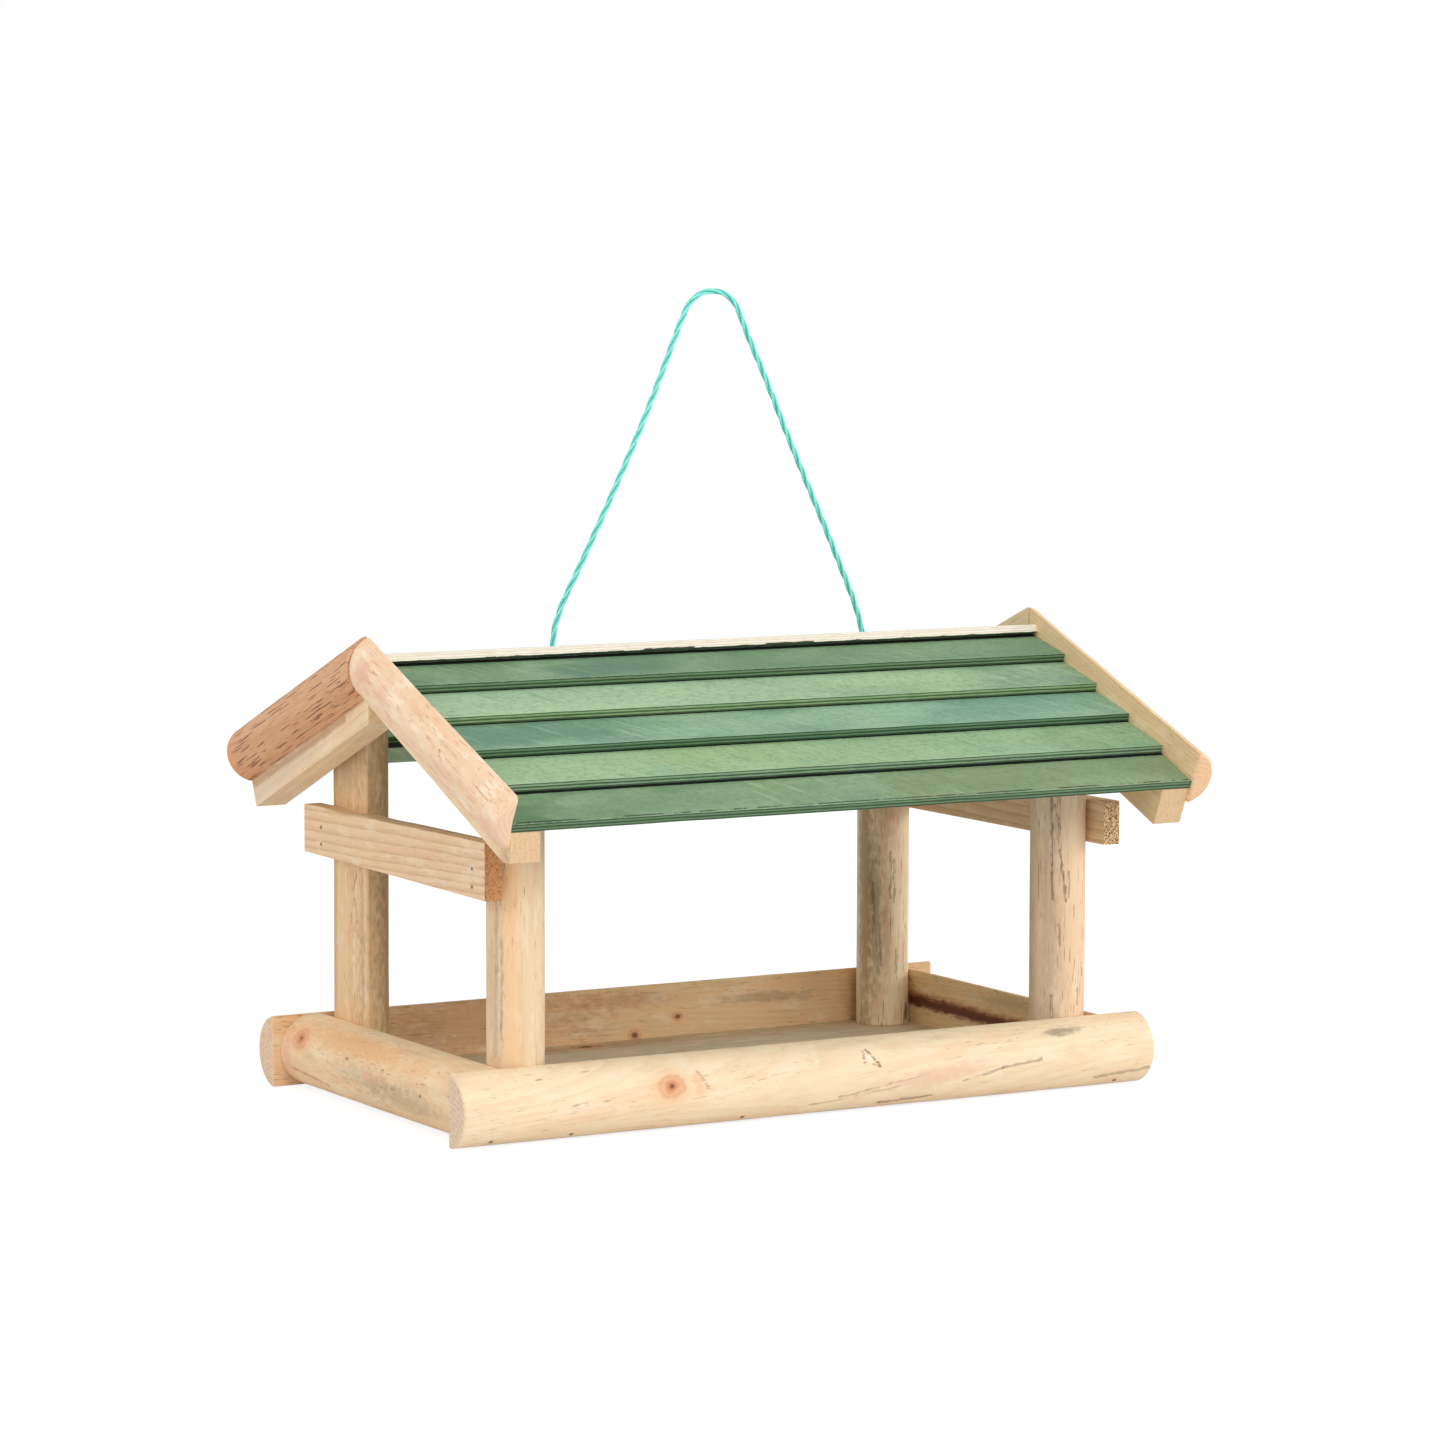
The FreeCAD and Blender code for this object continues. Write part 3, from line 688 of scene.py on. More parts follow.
backMarks = (
    [knot(onBack(0.0459, 0.0224), 0.0032, 0.7, brown), knot(onBack(0.0135, 0.0127), 0.0040, 0.7, brown)]
    + patches(onBack,
              (0.112, 0.0305, 0.045, 0.005, grey, 0.5),
              (-0.10, 0.03, 0.11, 0.03, rust, 0.35),
              (0.0, 0.036, 0.05, 0.008, rust, 0.35),
              (0.185, 0.030, 0.02, 0.03, rust, 0.25)))
rightMarks = (
    streaks(onRight,
            (0.096, 0.0262, -0.095, 0.0240, 0.0046, rust, 0.8),
            (0.094, 0.0252, -0.090, 0.0230, 0.0031, paint(98, 46, 22), 0.95))
    + patches(onRight, (-0.02, 0.038, 0.05, 0.006, grey, 0.3)))
endTones = {"sawn": paint(240, 214, 188), "sawnDark": paint(170, 132, 98), "poreShow": 0.6}
rail("frontRail", "front_rail", 1, -1, 3, pine(
    "frontRailPine", (1, 0.0, 0.12), (0, -0.119, 0.021), 1.3, frontMarks, pale=paint(254, 230, 194),
    ringShow=0.24, warmShow=0.3, dullShow=0.18, fibreShow=0.15, fleckShow=0.3, scratchShow=0.15, **endTones))
rail("backRail", "back_rail", 1, 1, 4, pine(
    "backRailPine", (1, 0.01, -0.03), (0, 0.118, 0.030), 7.1, backMarks, pale=paint(242, 206, 160),
    ringShow=0.5, warmShow=0.5, dullShow=0.3, fleckShow=0.4, scratchShow=0.45,
    **{**endTones, "sawn": paint(246, 214, 182)}))
rail("leftRail", "left_rail", 0, -1, 5, pine(
    "leftRailPine", (0.02, 1, 0.02), (-0.217, 0, 0.020), 4.6, leftMarks, pale=paint(250, 218, 174),
    ringShow=0.3, warmShow=0.4, dullShow=0.4, fleckShow=0.45, roseShow=0.4))
rail("rightRail", "right_rail", 0, 1, 6, pine(
    "rightRailPine", (0.0, 1, -0.03), (0.216, 0, 0.026), 9.4, rightMarks, pale=paint(244, 214, 168),
    ringShow=0.5, warmShow=0.4, dullShow=0.4, fleckShow=0.4))

trayLook = {"edge": 0.0004, "corner": 0.0005, "spacing": 0.02, "rows": 12}
low, high = corners("tray_floor")
sheet = cornered([(low[1], low[2]), (high[1], low[2]), (high[1], high[2]), (low[1], high[2])],
                 trayLook["corner"], trayLook["spacing"])
tray = carried("trayFloor", sheet, fixed(low[0]), fixed(high[0]),
               lambda form, run: lay(run, form[:, 0], form[:, 1]), trayLook["edge"], trayLook["rows"])
dress(tray, "tray_floor", pine(
    "floorPine", (1, 0.01, 0), (0, 0.05, -0.06), 12.8,
    [patch((-0.02, 0.105, 0.010), 0.09, 0.014, rust, 0.35), knot((-0.029, 0.109, 0.010), 0.0075, 0.3, brown),
     streak((-0.036, 0.109, 0.010), (-0.020, 0.109, 0.010), 0.0022, paint(58, 38, 26), 1.0)],
    pale=paint(226, 204, 172), late=paint(190, 162, 128), warm=paint(212, 180, 142),
    ringShow=0.5, fleckShow=0.35, scratchShow=0.4, ring=0.006, wander=0.05))
print("tray made")


# Posts: three round ones and a half-round one, their tops cut to the roof's slope

roof = {"pitch": math.radians(23.5), "ridge": 0.2712}
postLook = {"radius": 0.01725, "place": (0.19175, 0.10375), "edge": 0.0007, "rows": 44, "wobble": 0.0003}


def slopeAt(y):
    # The rafters' top line: the ridge's height less the way out times the pitch's tangent.
    return roof["ridge"] - np.abs(y) * math.tan(roof["pitch"])


def post(name, node, half, seed, wood):
    # A log's outline, or half a log's with its flat side to the left, carried up to the slope.
    low, high = corners(node)
    middle = (low + high) / 2
    radius = (high[1] - low[1]) / 2
    inner = (low[0] - middle[0], 0.0) if half else (0.0, 0.0)
    outline = logOutline(radius, inner, [((-1, 0), middle[0] - low[0])] if half else [])
    put = lambda form, run: lay(form[:, 0] + middle[0], form[:, 1] + middle[1], run)
    top = lambda form: slopeAt(form[:, 1] + middle[1])
    return dress(carried(name, outline, fixed(low[2]), top, put, postLook["edge"], postLook["rows"],
                         postLook["wobble"], seed), node, wood)


def onPost(side, back):
    # A round post's face, by an angle from +X, turning toward +Y, and a height.
    def on(degrees, z):
        turn = math.radians(degrees)
        return (side * postLook["place"][0] + postLook["radius"] * math.cos(turn),
                back * postLook["place"][1] + postLook["radius"] * math.sin(turn), z)
    return on


def onFlat(y, z):
    # The half-round post's flat face.
    return (-0.209, y, z)


def cracks(on, *stops):
    # One long crack through its stops.
    return streaks(on, *((*start, *end, 0.0007, paint(122, 78, 50), 0.65)
                         for start, end in zip(stops, stops[1:])))


def scores(on, *lines):
    # Fine brown lines, each by its start and its end.
    return streaks(on, *((*line, 0.0006, brown, 0.5) for line in lines))


onFrontLeft = onPost(-1, -1)
onFrontRight = onPost(1, -1)
onBackRight = onPost(1, 1)
frontLeftMarks = (
    patches(onFrontLeft,
            (-160, 0.10, 0.12, 0.009, grey, 0.2),
            (-122, 0.10, 0.20, 0.007, paint(250, 196, 142), 0.5))
    + streaks(onFrontLeft,
              (-158, 0.155, -160, 0.050, 0.0010, grey, 0.35),
              (-145, 0.120, -147, 0.060, 0.0007, brown, 0.35)))
frontRightMarks = (
    patches(onFrontRight,
            (-140, 0.10, 0.12, 0.007, grey, 0.3),
            (-118, 0.11, 0.07, 0.005, rust, 0.12))
    + cracks(onFrontRight, (-138, 0.186), (-137, 0.164), (-135, 0.140), (-134, 0.119))
    + cracks(onFrontRight, (-129, 0.178), (-120, 0.163), (-120, 0.150), (-111, 0.133), (-105, 0.118))
    + scores(onFrontRight, (-99, 0.136, -98, 0.120), (-120, 0.103, -117, 0.090),
             (-62, 0.078, -61, 0.070), (-75, 0.062, -75, 0.052), (-135, 0.058, -134, 0.042)))
backRightMarks = (
    patches(onBackRight,
            # Painted shade: the left side, which the roof shades, darkened down its length
            (-165, 0.10, 0.16, 0.008, paint(168, 132, 84), 0.7),
            (-142, 0.100, 0.060, 0.006, grey, 0.5),
            (-135, 0.07, 0.06, 0.005, grey, 0.4),
            (-55, 0.0177, 0.012, 0.004, brown, 0.9),
            (-112, 0.075, 0.05, 0.0045, rust, 0.35),
            (-115, 0.165, 0.05, 0.012, rust, 0.35))
    + scores(onBackRight, (-143, 0.105, -141, 0.078), (-104, 0.125, -106, 0.095),
             (-97, 0.120, -96, 0.092), (-128, 0.078, -126, 0.050), (-92, 0.060, -93, 0.045),
             (-120, 0.160, -100, 0.158)))
backLeftMarks = (
    streaks(onFlat,
            (0.074, 0.137, 0.079, 0.127, 0.0005, rust, 0.75),
            (0.080, 0.138, 0.077, 0.130, 0.0005, rust, 0.6),
            (0.078, 0.122, 0.074, 0.112, 0.0005, rust, 0.75),
            (0.073, 0.108, 0.079, 0.098, 0.0005, rust, 0.6),
            (0.083, 0.112, 0.081, 0.100, 0.0004, rust, 0.5))
    + patches(onFlat,
              (0.066, 0.09, 0.10, 0.004, grey, 0.35),
              (0.105, 0.12, 0.15, 0.004, grey, 0.4))
    # Painted shade on the round inner side under the roof, over the wood's darker natural tone there
    + [patch((-0.186, 0.072, 0.12), 0.50, 0.026, paint(164, 124, 80), 0.75)])
post("frontLeftPost", "post_front_left", False, 11, pine(
    "frontLeftPine", (0.01, 0, 1), (-0.190, -0.102, 0), 2.2, frontLeftMarks, pale=paint(239, 212, 175),
    ringShow=0.3, warmShow=0.35, dullShow=0.35, fleckShow=0.5, scratchShow=0.35, roseShow=0.3))
post("frontRightPost", "post_front_right", False, 12, pine(
    "frontRightPine", (0, 0.01, 1), (0.193, -0.105, 0), 5.7, frontRightMarks, pale=paint(240, 212, 180),
    ringShow=0.3, warmShow=0.3, dullShow=0.45, fleckShow=0.5, fleckRare=0.64, fleckLong=70, scratchShow=0.75,
    roseShow=0.2))
# The back right post's pale tone is raised: painted light for the brightness of its lit right side
post("backRightPost", "post_back_right", False, 13, pine(
    "backRightPine", (0.01, 0.01, 1), (0.190, 0.102, 0), 8.9, backRightMarks, pale=paint(255, 237, 201),
    ringShow=0.35, warmShow=0.25, dullShow=0.25, fleckShow=0.6, fleckRare=0.63, fleckLong=60,
    scratchShow=0.85, roseShow=0.3))
post("backLeftPost", "post_back_left", True, 14, pine(
    "backLeftPine", (0, 0, 1), (-0.203, 0.083, 0), 3.9, backLeftMarks, pale=paint(241, 206, 160),
    ringShow=0.5, warmShow=0.35, dullShow=0.3, fleckShow=0.3, roseShow=0.35))
print("posts stood")


# Battens across the posts, under the gables

battenLook = {"corner": 0.0006, "spacing": 0.004, "rows": 40, "wane": 0.0011, "face": 0.2205,
              "nailStep": 0.0105}
battenTones = {"pale": paint(244, 212, 172), "late": paint(206, 160, 112), "ring": 0.0046, "wander": 0.006,
               "ringShow": 0.8, "warmShow": 0.25, "dullShow": 0.12, "fleckShow": 0.15, "fibreShow": 0.3,
               "scratchShow": 0.15}


def batten(name, node, lowEnds, highEnds, wane, wood):
    # A strip between a lower and an upper edge, each given at the front and at the back.
    low, high = corners(node)
    size = np.array([high[0] - low[0], high[2] - low[2]])
    edges = cornered([(0, 0), (size[0], 0), size, (0, size[1])], battenLook["corner"], battenLook["spacing"])
    edges = edges / size

    def put(form, run):
        # The upper edge has a shallow wave planed into its back part.
        share = (run - low[1]) / (high[1] - low[1])
        bottom = lowEnds[0] + (lowEnds[1] - lowEnds[0]) * share
        top = highEnds[0] + (highEnds[1] - highEnds[0]) * share
        top = top - wane * (0.5 + 0.5 * np.sin(run * 95 + 1)) * np.exp(-((share - 0.75) / 0.2) ** 2)
        return lay(low[0] + form[:, 0] * size[0], run, bottom + form[:, 1] * (top - bottom))

    return dress(carried(name, edges, fixed(low[1]), fixed(high[1]), put, 0.0, battenLook["rows"]), node,
                 wood)


def battenSpots(side, *posts):
    # Two nail heads for each post, given by its place and the lower head's height.
    return [(side * battenLook["face"], y, z) for y, low in posts
            for z in (low, low + battenLook["nailStep"])]


leftSpots = battenSpots(-1, (-0.10375, 0.151), (0.1005, 0.1538))
rightSpots = battenSpots(1, (-0.10375, 0.161), (0.10375, 0.161))
batten("leftBatten", "left_batten", (0.144, 0.1468), (0.1785, 0.1768), battenLook["wane"], pine(
    "leftBattenPine", (0, 1, -0.03), (-0.19, 0, 0.21), 6.3,
    # Painted shade: a dark ring round each nail head, standing in for the shadow of a sunk head
    [patch(spot, 0.0025, 0.0016, brown, 0.45) for spot in leftSpots]
    + [patch((-battenLook["face"], -0.02, 0.162), 0.05, 0.004, rose, 0.35)],
    sawn=paint(216, 150, 90), sawnDark=paint(128, 64, 18), poreShow=0.9, **battenTones))
batten("rightBatten", "right_batten", (0.1526, 0.1526), (0.1799, 0.1799), 0.0, pine(
    "rightBattenPine", (0, 1, 0.02), (0.24, 0, 0.13), 10.2, sawn=paint(238, 206, 156),
    sawnDark=paint(116, 54, 8), poreShow=0.95, poreTo=0.54, **battenTones))
print("battens nailed")


# Rafters: sawn boards between the roof and the bargeboards

rafterLook = {"corner": 0.0006, "spacing": 0.002, "edge": 0.0005, "rows": 6, "near": 0.0004, "face": 0.2368,
              # the depth at the ridge, the run down the slope and the depth of the sawn end
              "square": (0.0247, 0.198, 0.0247), "tapered": (0.030, 0.1865, 0.027),
              # the plumb one's depth, its reach out from the ridge, and its toe below the slope there
              "plumbDeep": 0.0195, "plumbReach": 0.1824, "plumbToe": 0.0179}
rafterTones = {"pale": paint(250, 222, 182), "late": paint(214, 176, 132), "warm": paint(236, 196, 152),
               "fleckShow": 0.2, "sawn": paint(226, 192, 150), "sawnDark": paint(180, 136, 92),
               "poreShow": 0.4}


def onSlope(run, rise):
    # Out and up from the ridge, for a run down the slope and a rise square to it.
    pitch = roof["pitch"]
    return (run * math.cos(pitch) + rise * math.sin(pitch),
            roof["ridge"] - run * math.sin(pitch) + rise * math.cos(pitch))


def under(out, deep):
    # A place below the rafters' top line, at a depth square to it.
    return (out, float(slopeAt(out)) - deep / math.cos(roof["pitch"]))


def rafter(name, node, cornersOut, back, wood):
    # The profile is carried along X, and its sawn end is the side between the second and third
    # corners, with the plumb rafter's level toe.
    low, high = corners(node)
    outline = cornered([(-out, z) for out, z in cornersOut], rafterLook["corner"],
                       rafterLook["spacing"])
    first, second = (np.array((-out, z)) for out, z in cornersOut[1:3])
    way = np.array([first[1] - second[1], second[0] - first[0]]) / np.linalg.norm(first - second)
    toe = -1.0 if len(cornersOut) == 4 else second[1] + rafterLook["near"]

    def sawn(form):
        return ((np.abs((form - first) @ way) < rafterLook["near"]) | (form[:, 1] < toe)) * 1.0

    put = lambda form, run: lay(run, form[:, 0] * (-1 if back else 1), form[:, 1])
    return dress(carried(name, outline, fixed(low[0]), fixed(high[0]), put, rafterLook["edge"],
                         rafterLook["rows"], sawn=sawn), node, wood)


def squareRafter(deep, run, end):
    # Ridge, sawn end's upper and lower corner, and the ridge's lower one.
    return [under(0, 0), onSlope(run, 0), onSlope(run, -end), under(0, deep)]


def onGable(side):
    # The rafters' outer face, which the bargeboards' flat ones lie on.
    return lambda y, z: (side * rafterLook["face"], y, z)


plumbReach = rafterLook["plumbReach"]
plumbDeep = rafterLook["plumbDeep"]
plumbEnd = float(slopeAt(plumbReach)) - rafterLook["plumbToe"]
toeOut = (roof["ridge"] - plumbEnd - plumbDeep / math.cos(roof["pitch"])) / math.tan(roof["pitch"])
plumbCorners = [under(0, 0), under(plumbReach, 0), (plumbReach, plumbEnd), (toeOut, plumbEnd),
                under(0, plumbDeep)]
backCorners = squareRafter(*rafterLook["tapered"])
slopeWay = (0, math.cos(roof["pitch"]), math.sin(roof["pitch"]))
backWay = (0, -slopeWay[1], slopeWay[2])
rafter("frontRightRafter", "rafter_front_right", squareRafter(*rafterLook["square"]), False,
       pine("frontRightRafterPine", slopeWay, (0.30, -0.1, 0.26), 1.9,
            **{**rafterTones, "pale": paint(243, 211, 162)}))
rafter("frontLeftRafter", "rafter_front_left", plumbCorners, False,
       pine("frontLeftRafterPine", slopeWay, (-0.29, -0.1, 0.215), 3.1,
            patches(onGable(-1), (-0.178, 0.178, 0.008, 0.006, grey, 0.5)), **rafterTones))
rafter("backLeftRafter", "rafter_back_left", backCorners, True,
       pine("backLeftRafterPine", backWay, (-0.20, 0.1, 0.14), 5.2,
            patches(onGable(-1), (0.12, 0.197, 0.09, 0.010, paint(222, 200, 174), 0.6))
            + streaks(onGable(-1), (0.092, 0.198, 0.080, 0.2035, 0.0008, grey, 0.8),
                      # Painted shadow: a brown strip along the bargeboard's lower edge
                      (0.033, 0.2385, 0.163, 0.1862, 0.0024, paint(176, 130, 90), 0.6)),
            ring=0.005, **rafterTones))
rafter("backRightRafter", "rafter_back_right", backCorners, True,
       pine("backRightRafterPine", backWay, (0.20, 0.1, 0.14), 6.8, ring=0.005, **rafterTones))
print("rafters sawn")


# Bargeboards: half-round strips down each gable, mitred plumb at the ridge

bargeLook = {"radius": 0.018, "thick": 0.014, "pitch": math.radians(21.9), "peak": 0.2923, "face": 0.2495,
             "edge": 0.0022, "worn": 0.0045, "mitreGap": 0.0001, "rows": 40, "wobble": 0.0005}


def bargeboard(name, node, left, back, reach, seed, wood, edge=bargeLook["edge"]):
    # Part of a log's circle with one flat side, carried down the gable from the mitre to its reach.
    low, high = corners(node)
    wide = 2 * math.sqrt(bargeLook["thick"] * (2 * bargeLook["radius"] - bargeLook["thick"]))
    pitch = bargeLook["pitch"]
    flat = high[0] if left else low[0]
    outer = -1 if left else 1
    half = bargeLook["thick"] / 2
    outline = logOutline(bargeLook["radius"], (0.0, outer * (half - bargeLook["radius"])),
                         [((0, -outer), half)])
    front = 1 if back else -1

    def put(form, run):
        # Down the slope by the run, and in from the upper edge by the outline's first part.
        down = form[:, 0] + wide / 2
        y = run * math.cos(pitch) - down * math.sin(pitch)
        z = bargeLook["peak"] - run * math.sin(pitch) - down * math.cos(pitch)
        return lay(flat + outer * half + form[:, 1], front * y, z)

    mitre = lambda form: (form[:, 0] + wide / 2) * math.tan(pitch) + bargeLook["mitreGap"]
    return dress(carried(name, outline, mitre, fixed(reach), put, edge, bargeLook["rows"],
                         bargeLook["wobble"], seed), node, wood)


def onBarge(out, down):
    # The front left one's round face, at a distance out from the ridge and below the top edge.
    return (-bargeLook["face"], -out, bargeLook["peak"] - out * math.tan(bargeLook["pitch"]) - down)


bargeWay = (0, math.cos(bargeLook["pitch"]), math.sin(bargeLook["pitch"]))
bargeBack = (0, -bargeWay[1], bargeWay[2])
frontBargeMarks = (
    patches(onBarge,
            (0.018, 0.014, 0.012, 0.009, rose, 0.75),
            (0.045, 0.013, 0.010, 0.007, rose, 0.6),
            (0.125, 0.018, 0.020, 0.010, rose, 0.35),
            (0.180, 0.026, 0.018, 0.012, rose, 0.6))
    + streaks(onBarge,
              (0.118, 0.010, 0.123, 0.014, 0.0006, rust, 0.8),
              (0.145, 0.013, 0.153, 0.018, 0.0005, rust, 0.7),
              (0.085, 0.020, 0.089, 0.022, 0.0005, rust, 0.6),
              (0.100, 0.008, 0.104, 0.010, 0.0005, rust, 0.5)))
bargeboard("frontLeftBargeboard", "bargeboard_front_left", True, False, 0.211, 21, pine(
    "frontLeftBargePine", bargeWay, (-0.232, -0.09, 0.242), 2.7, frontBargeMarks, pale=paint(250, 218, 184),
    ringShow=0.2, warmShow=0.45, dullShow=0.12, fleckShow=0.6, fleckRare=0.635, fleckFrom=0.36, fleckLong=90,
    roseShow=0.55, bleachShow=0.6, scratchShow=0.2, fleck=paint(196, 142, 100),
    sawn=paint(246, 210, 180), sawnDark=paint(220, 172, 138), poreShow=0.35), bargeLook["worn"])
bargeboard("backLeftBargeboard", "bargeboard_back_left", True, True, 0.195, 22, pine(
    "backLeftBargePine", bargeBack, (-0.230, 0.09, 0.236), 4.4,
    [patch((-bargeLook["face"], 0.172, 0.203), 0.014, 0.022, paint(236, 162, 112), 0.8)],
    pale=paint(226, 174, 130), late=paint(188, 124, 80), warm=paint(208, 140, 92), bleachShow=0.05,
    fleck=paint(120, 72, 42), sawn=paint(236, 182, 140), ringShow=0.4, warmShow=0.6, dullShow=0.1,
    fleckShow=0.75, fleckRare=0.585, fleckLong=48, fleckFine=850, fleckFrom=0.25, fibreShow=0.6,
    scratch=paint(150, 92, 54), scratchShow=0.8, relief=0.8))
bargeboard("frontRightBargeboard", "bargeboard_front_right", False, False, 0.208, 23, pine(
    "frontRightBargePine", bargeWay, (0.24, -0.09, 0.235), 6.6,
    patches(onGable(1), (-0.045, 0.254, 0.003, 0.002, brown, 0.7), (-0.10, 0.232, 0.012, 0.006, rose, 0.5),
            (-0.15, 0.212, 0.02, 0.01, knotLook["halo"], 0.5)),
    pale=paint(244, 211, 166), late=paint(214, 172, 122), ringShow=0.4, warmShow=0.4, fleckShow=0.35,
    sawn=paint(242, 198, 156), sawnDark=paint(214, 160, 118), poreShow=0.35))
bargeboard("backRightBargeboard", "bargeboard_back_right", False, True, 0.195, 24, pine(
    "backRightBargePine", bargeBack, (0.24, 0.09, 0.235), 8.2, pale=paint(240, 212, 170), ringShow=0.4,
    warmShow=0.4, fleckShow=0.35))
print("bargeboards mitred")


# Roof boards: thin plywood with a green stain, its layers open along every edge

# The gap tone is the near-black of painted shadow under the boards' edges and in the top board's torn hollows
boardTones = {"teal": paint(108, 156, 134), "straw": paint(170, 190, 130), "dark": paint(86, 124, 84),
              "line": paint(22, 42, 28), "worn": paint(190, 212, 176), "gap": paint(10, 16, 12),
              "olive": paint(134, 142, 98), "deep": paint(84, 122, 102), "cream": paint(250, 242, 226),
              "creamLine": paint(206, 184, 150)}
boardSizes = {"thick": 0.005, "lap": 0.006, "step": 0.040, "first": 0.0427, "last": 0.1987, "start": 0.004,
              "gap": 0.0001, "corner": 0.0003, "spacing": 0.006, "edge": 0.0002, "rows": 60,
              "shadow": 0.0013, "glue": (0.10, 0.52, 0.95), "glueShow": 0.75, "layers": (0.25, 0.55, 0.80),
              "hidden": {1: 0.0042, 2: 0.0070, 3: 0.0070, 4: 0.0068, 5: 0.0076}}
boardLooks = {  # fields: middle along the ridge, half width, tone and strength, on the front slope
    1: {"base": paint(139, 166, 130), "teal": 0.25, "straw": 0.3, "dark": 0.35, "edge": paint(112, 140, 102),
        "fields": ((-0.085, 0.03, "deep", 0.7), (-0.2, 0.03, "dark", 0.65), (0.12, 0.10, "dark", 0.35))},
    2: {"base": paint(176, 202, 164), "teal": 0.15, "straw": 0.4, "dark": 0.15, "edge": paint(150, 180, 128),
        "fields": ((0.20, 0.035, "deep", 0.5), (0.10, 0.03, "dark", 0.2))},
    3: {"base": paint(154, 188, 160), "teal": 0.5, "straw": 0.10, "dark": 0.25, "edge": paint(98, 134, 100),
        "fields": ((-0.17, 0.05, "deep", 0.5), (-0.02, 0.04, "deep", 0.3), (0.13, 0.04, "teal", 0.5))},
    4: {"base": paint(164, 196, 154), "teal": 0.15, "straw": 0.35, "dark": 0.15, "edge": paint(148, 178, 142),
        "fields": ((0.21, 0.03, "dark", 0.25), (-0.05, 0.03, "straw", 0.5))},
    5: {"base": paint(143, 167, 132), "teal": 0.2, "straw": 0.25, "dark": 0.35, "edge": paint(106, 136, 100),
        "fields": ((-0.21, 0.05, "dark", 0.9), (-0.08, 0.04, "dark", 0.4), (0.13, 0.09, "olive", 0.6))},
}


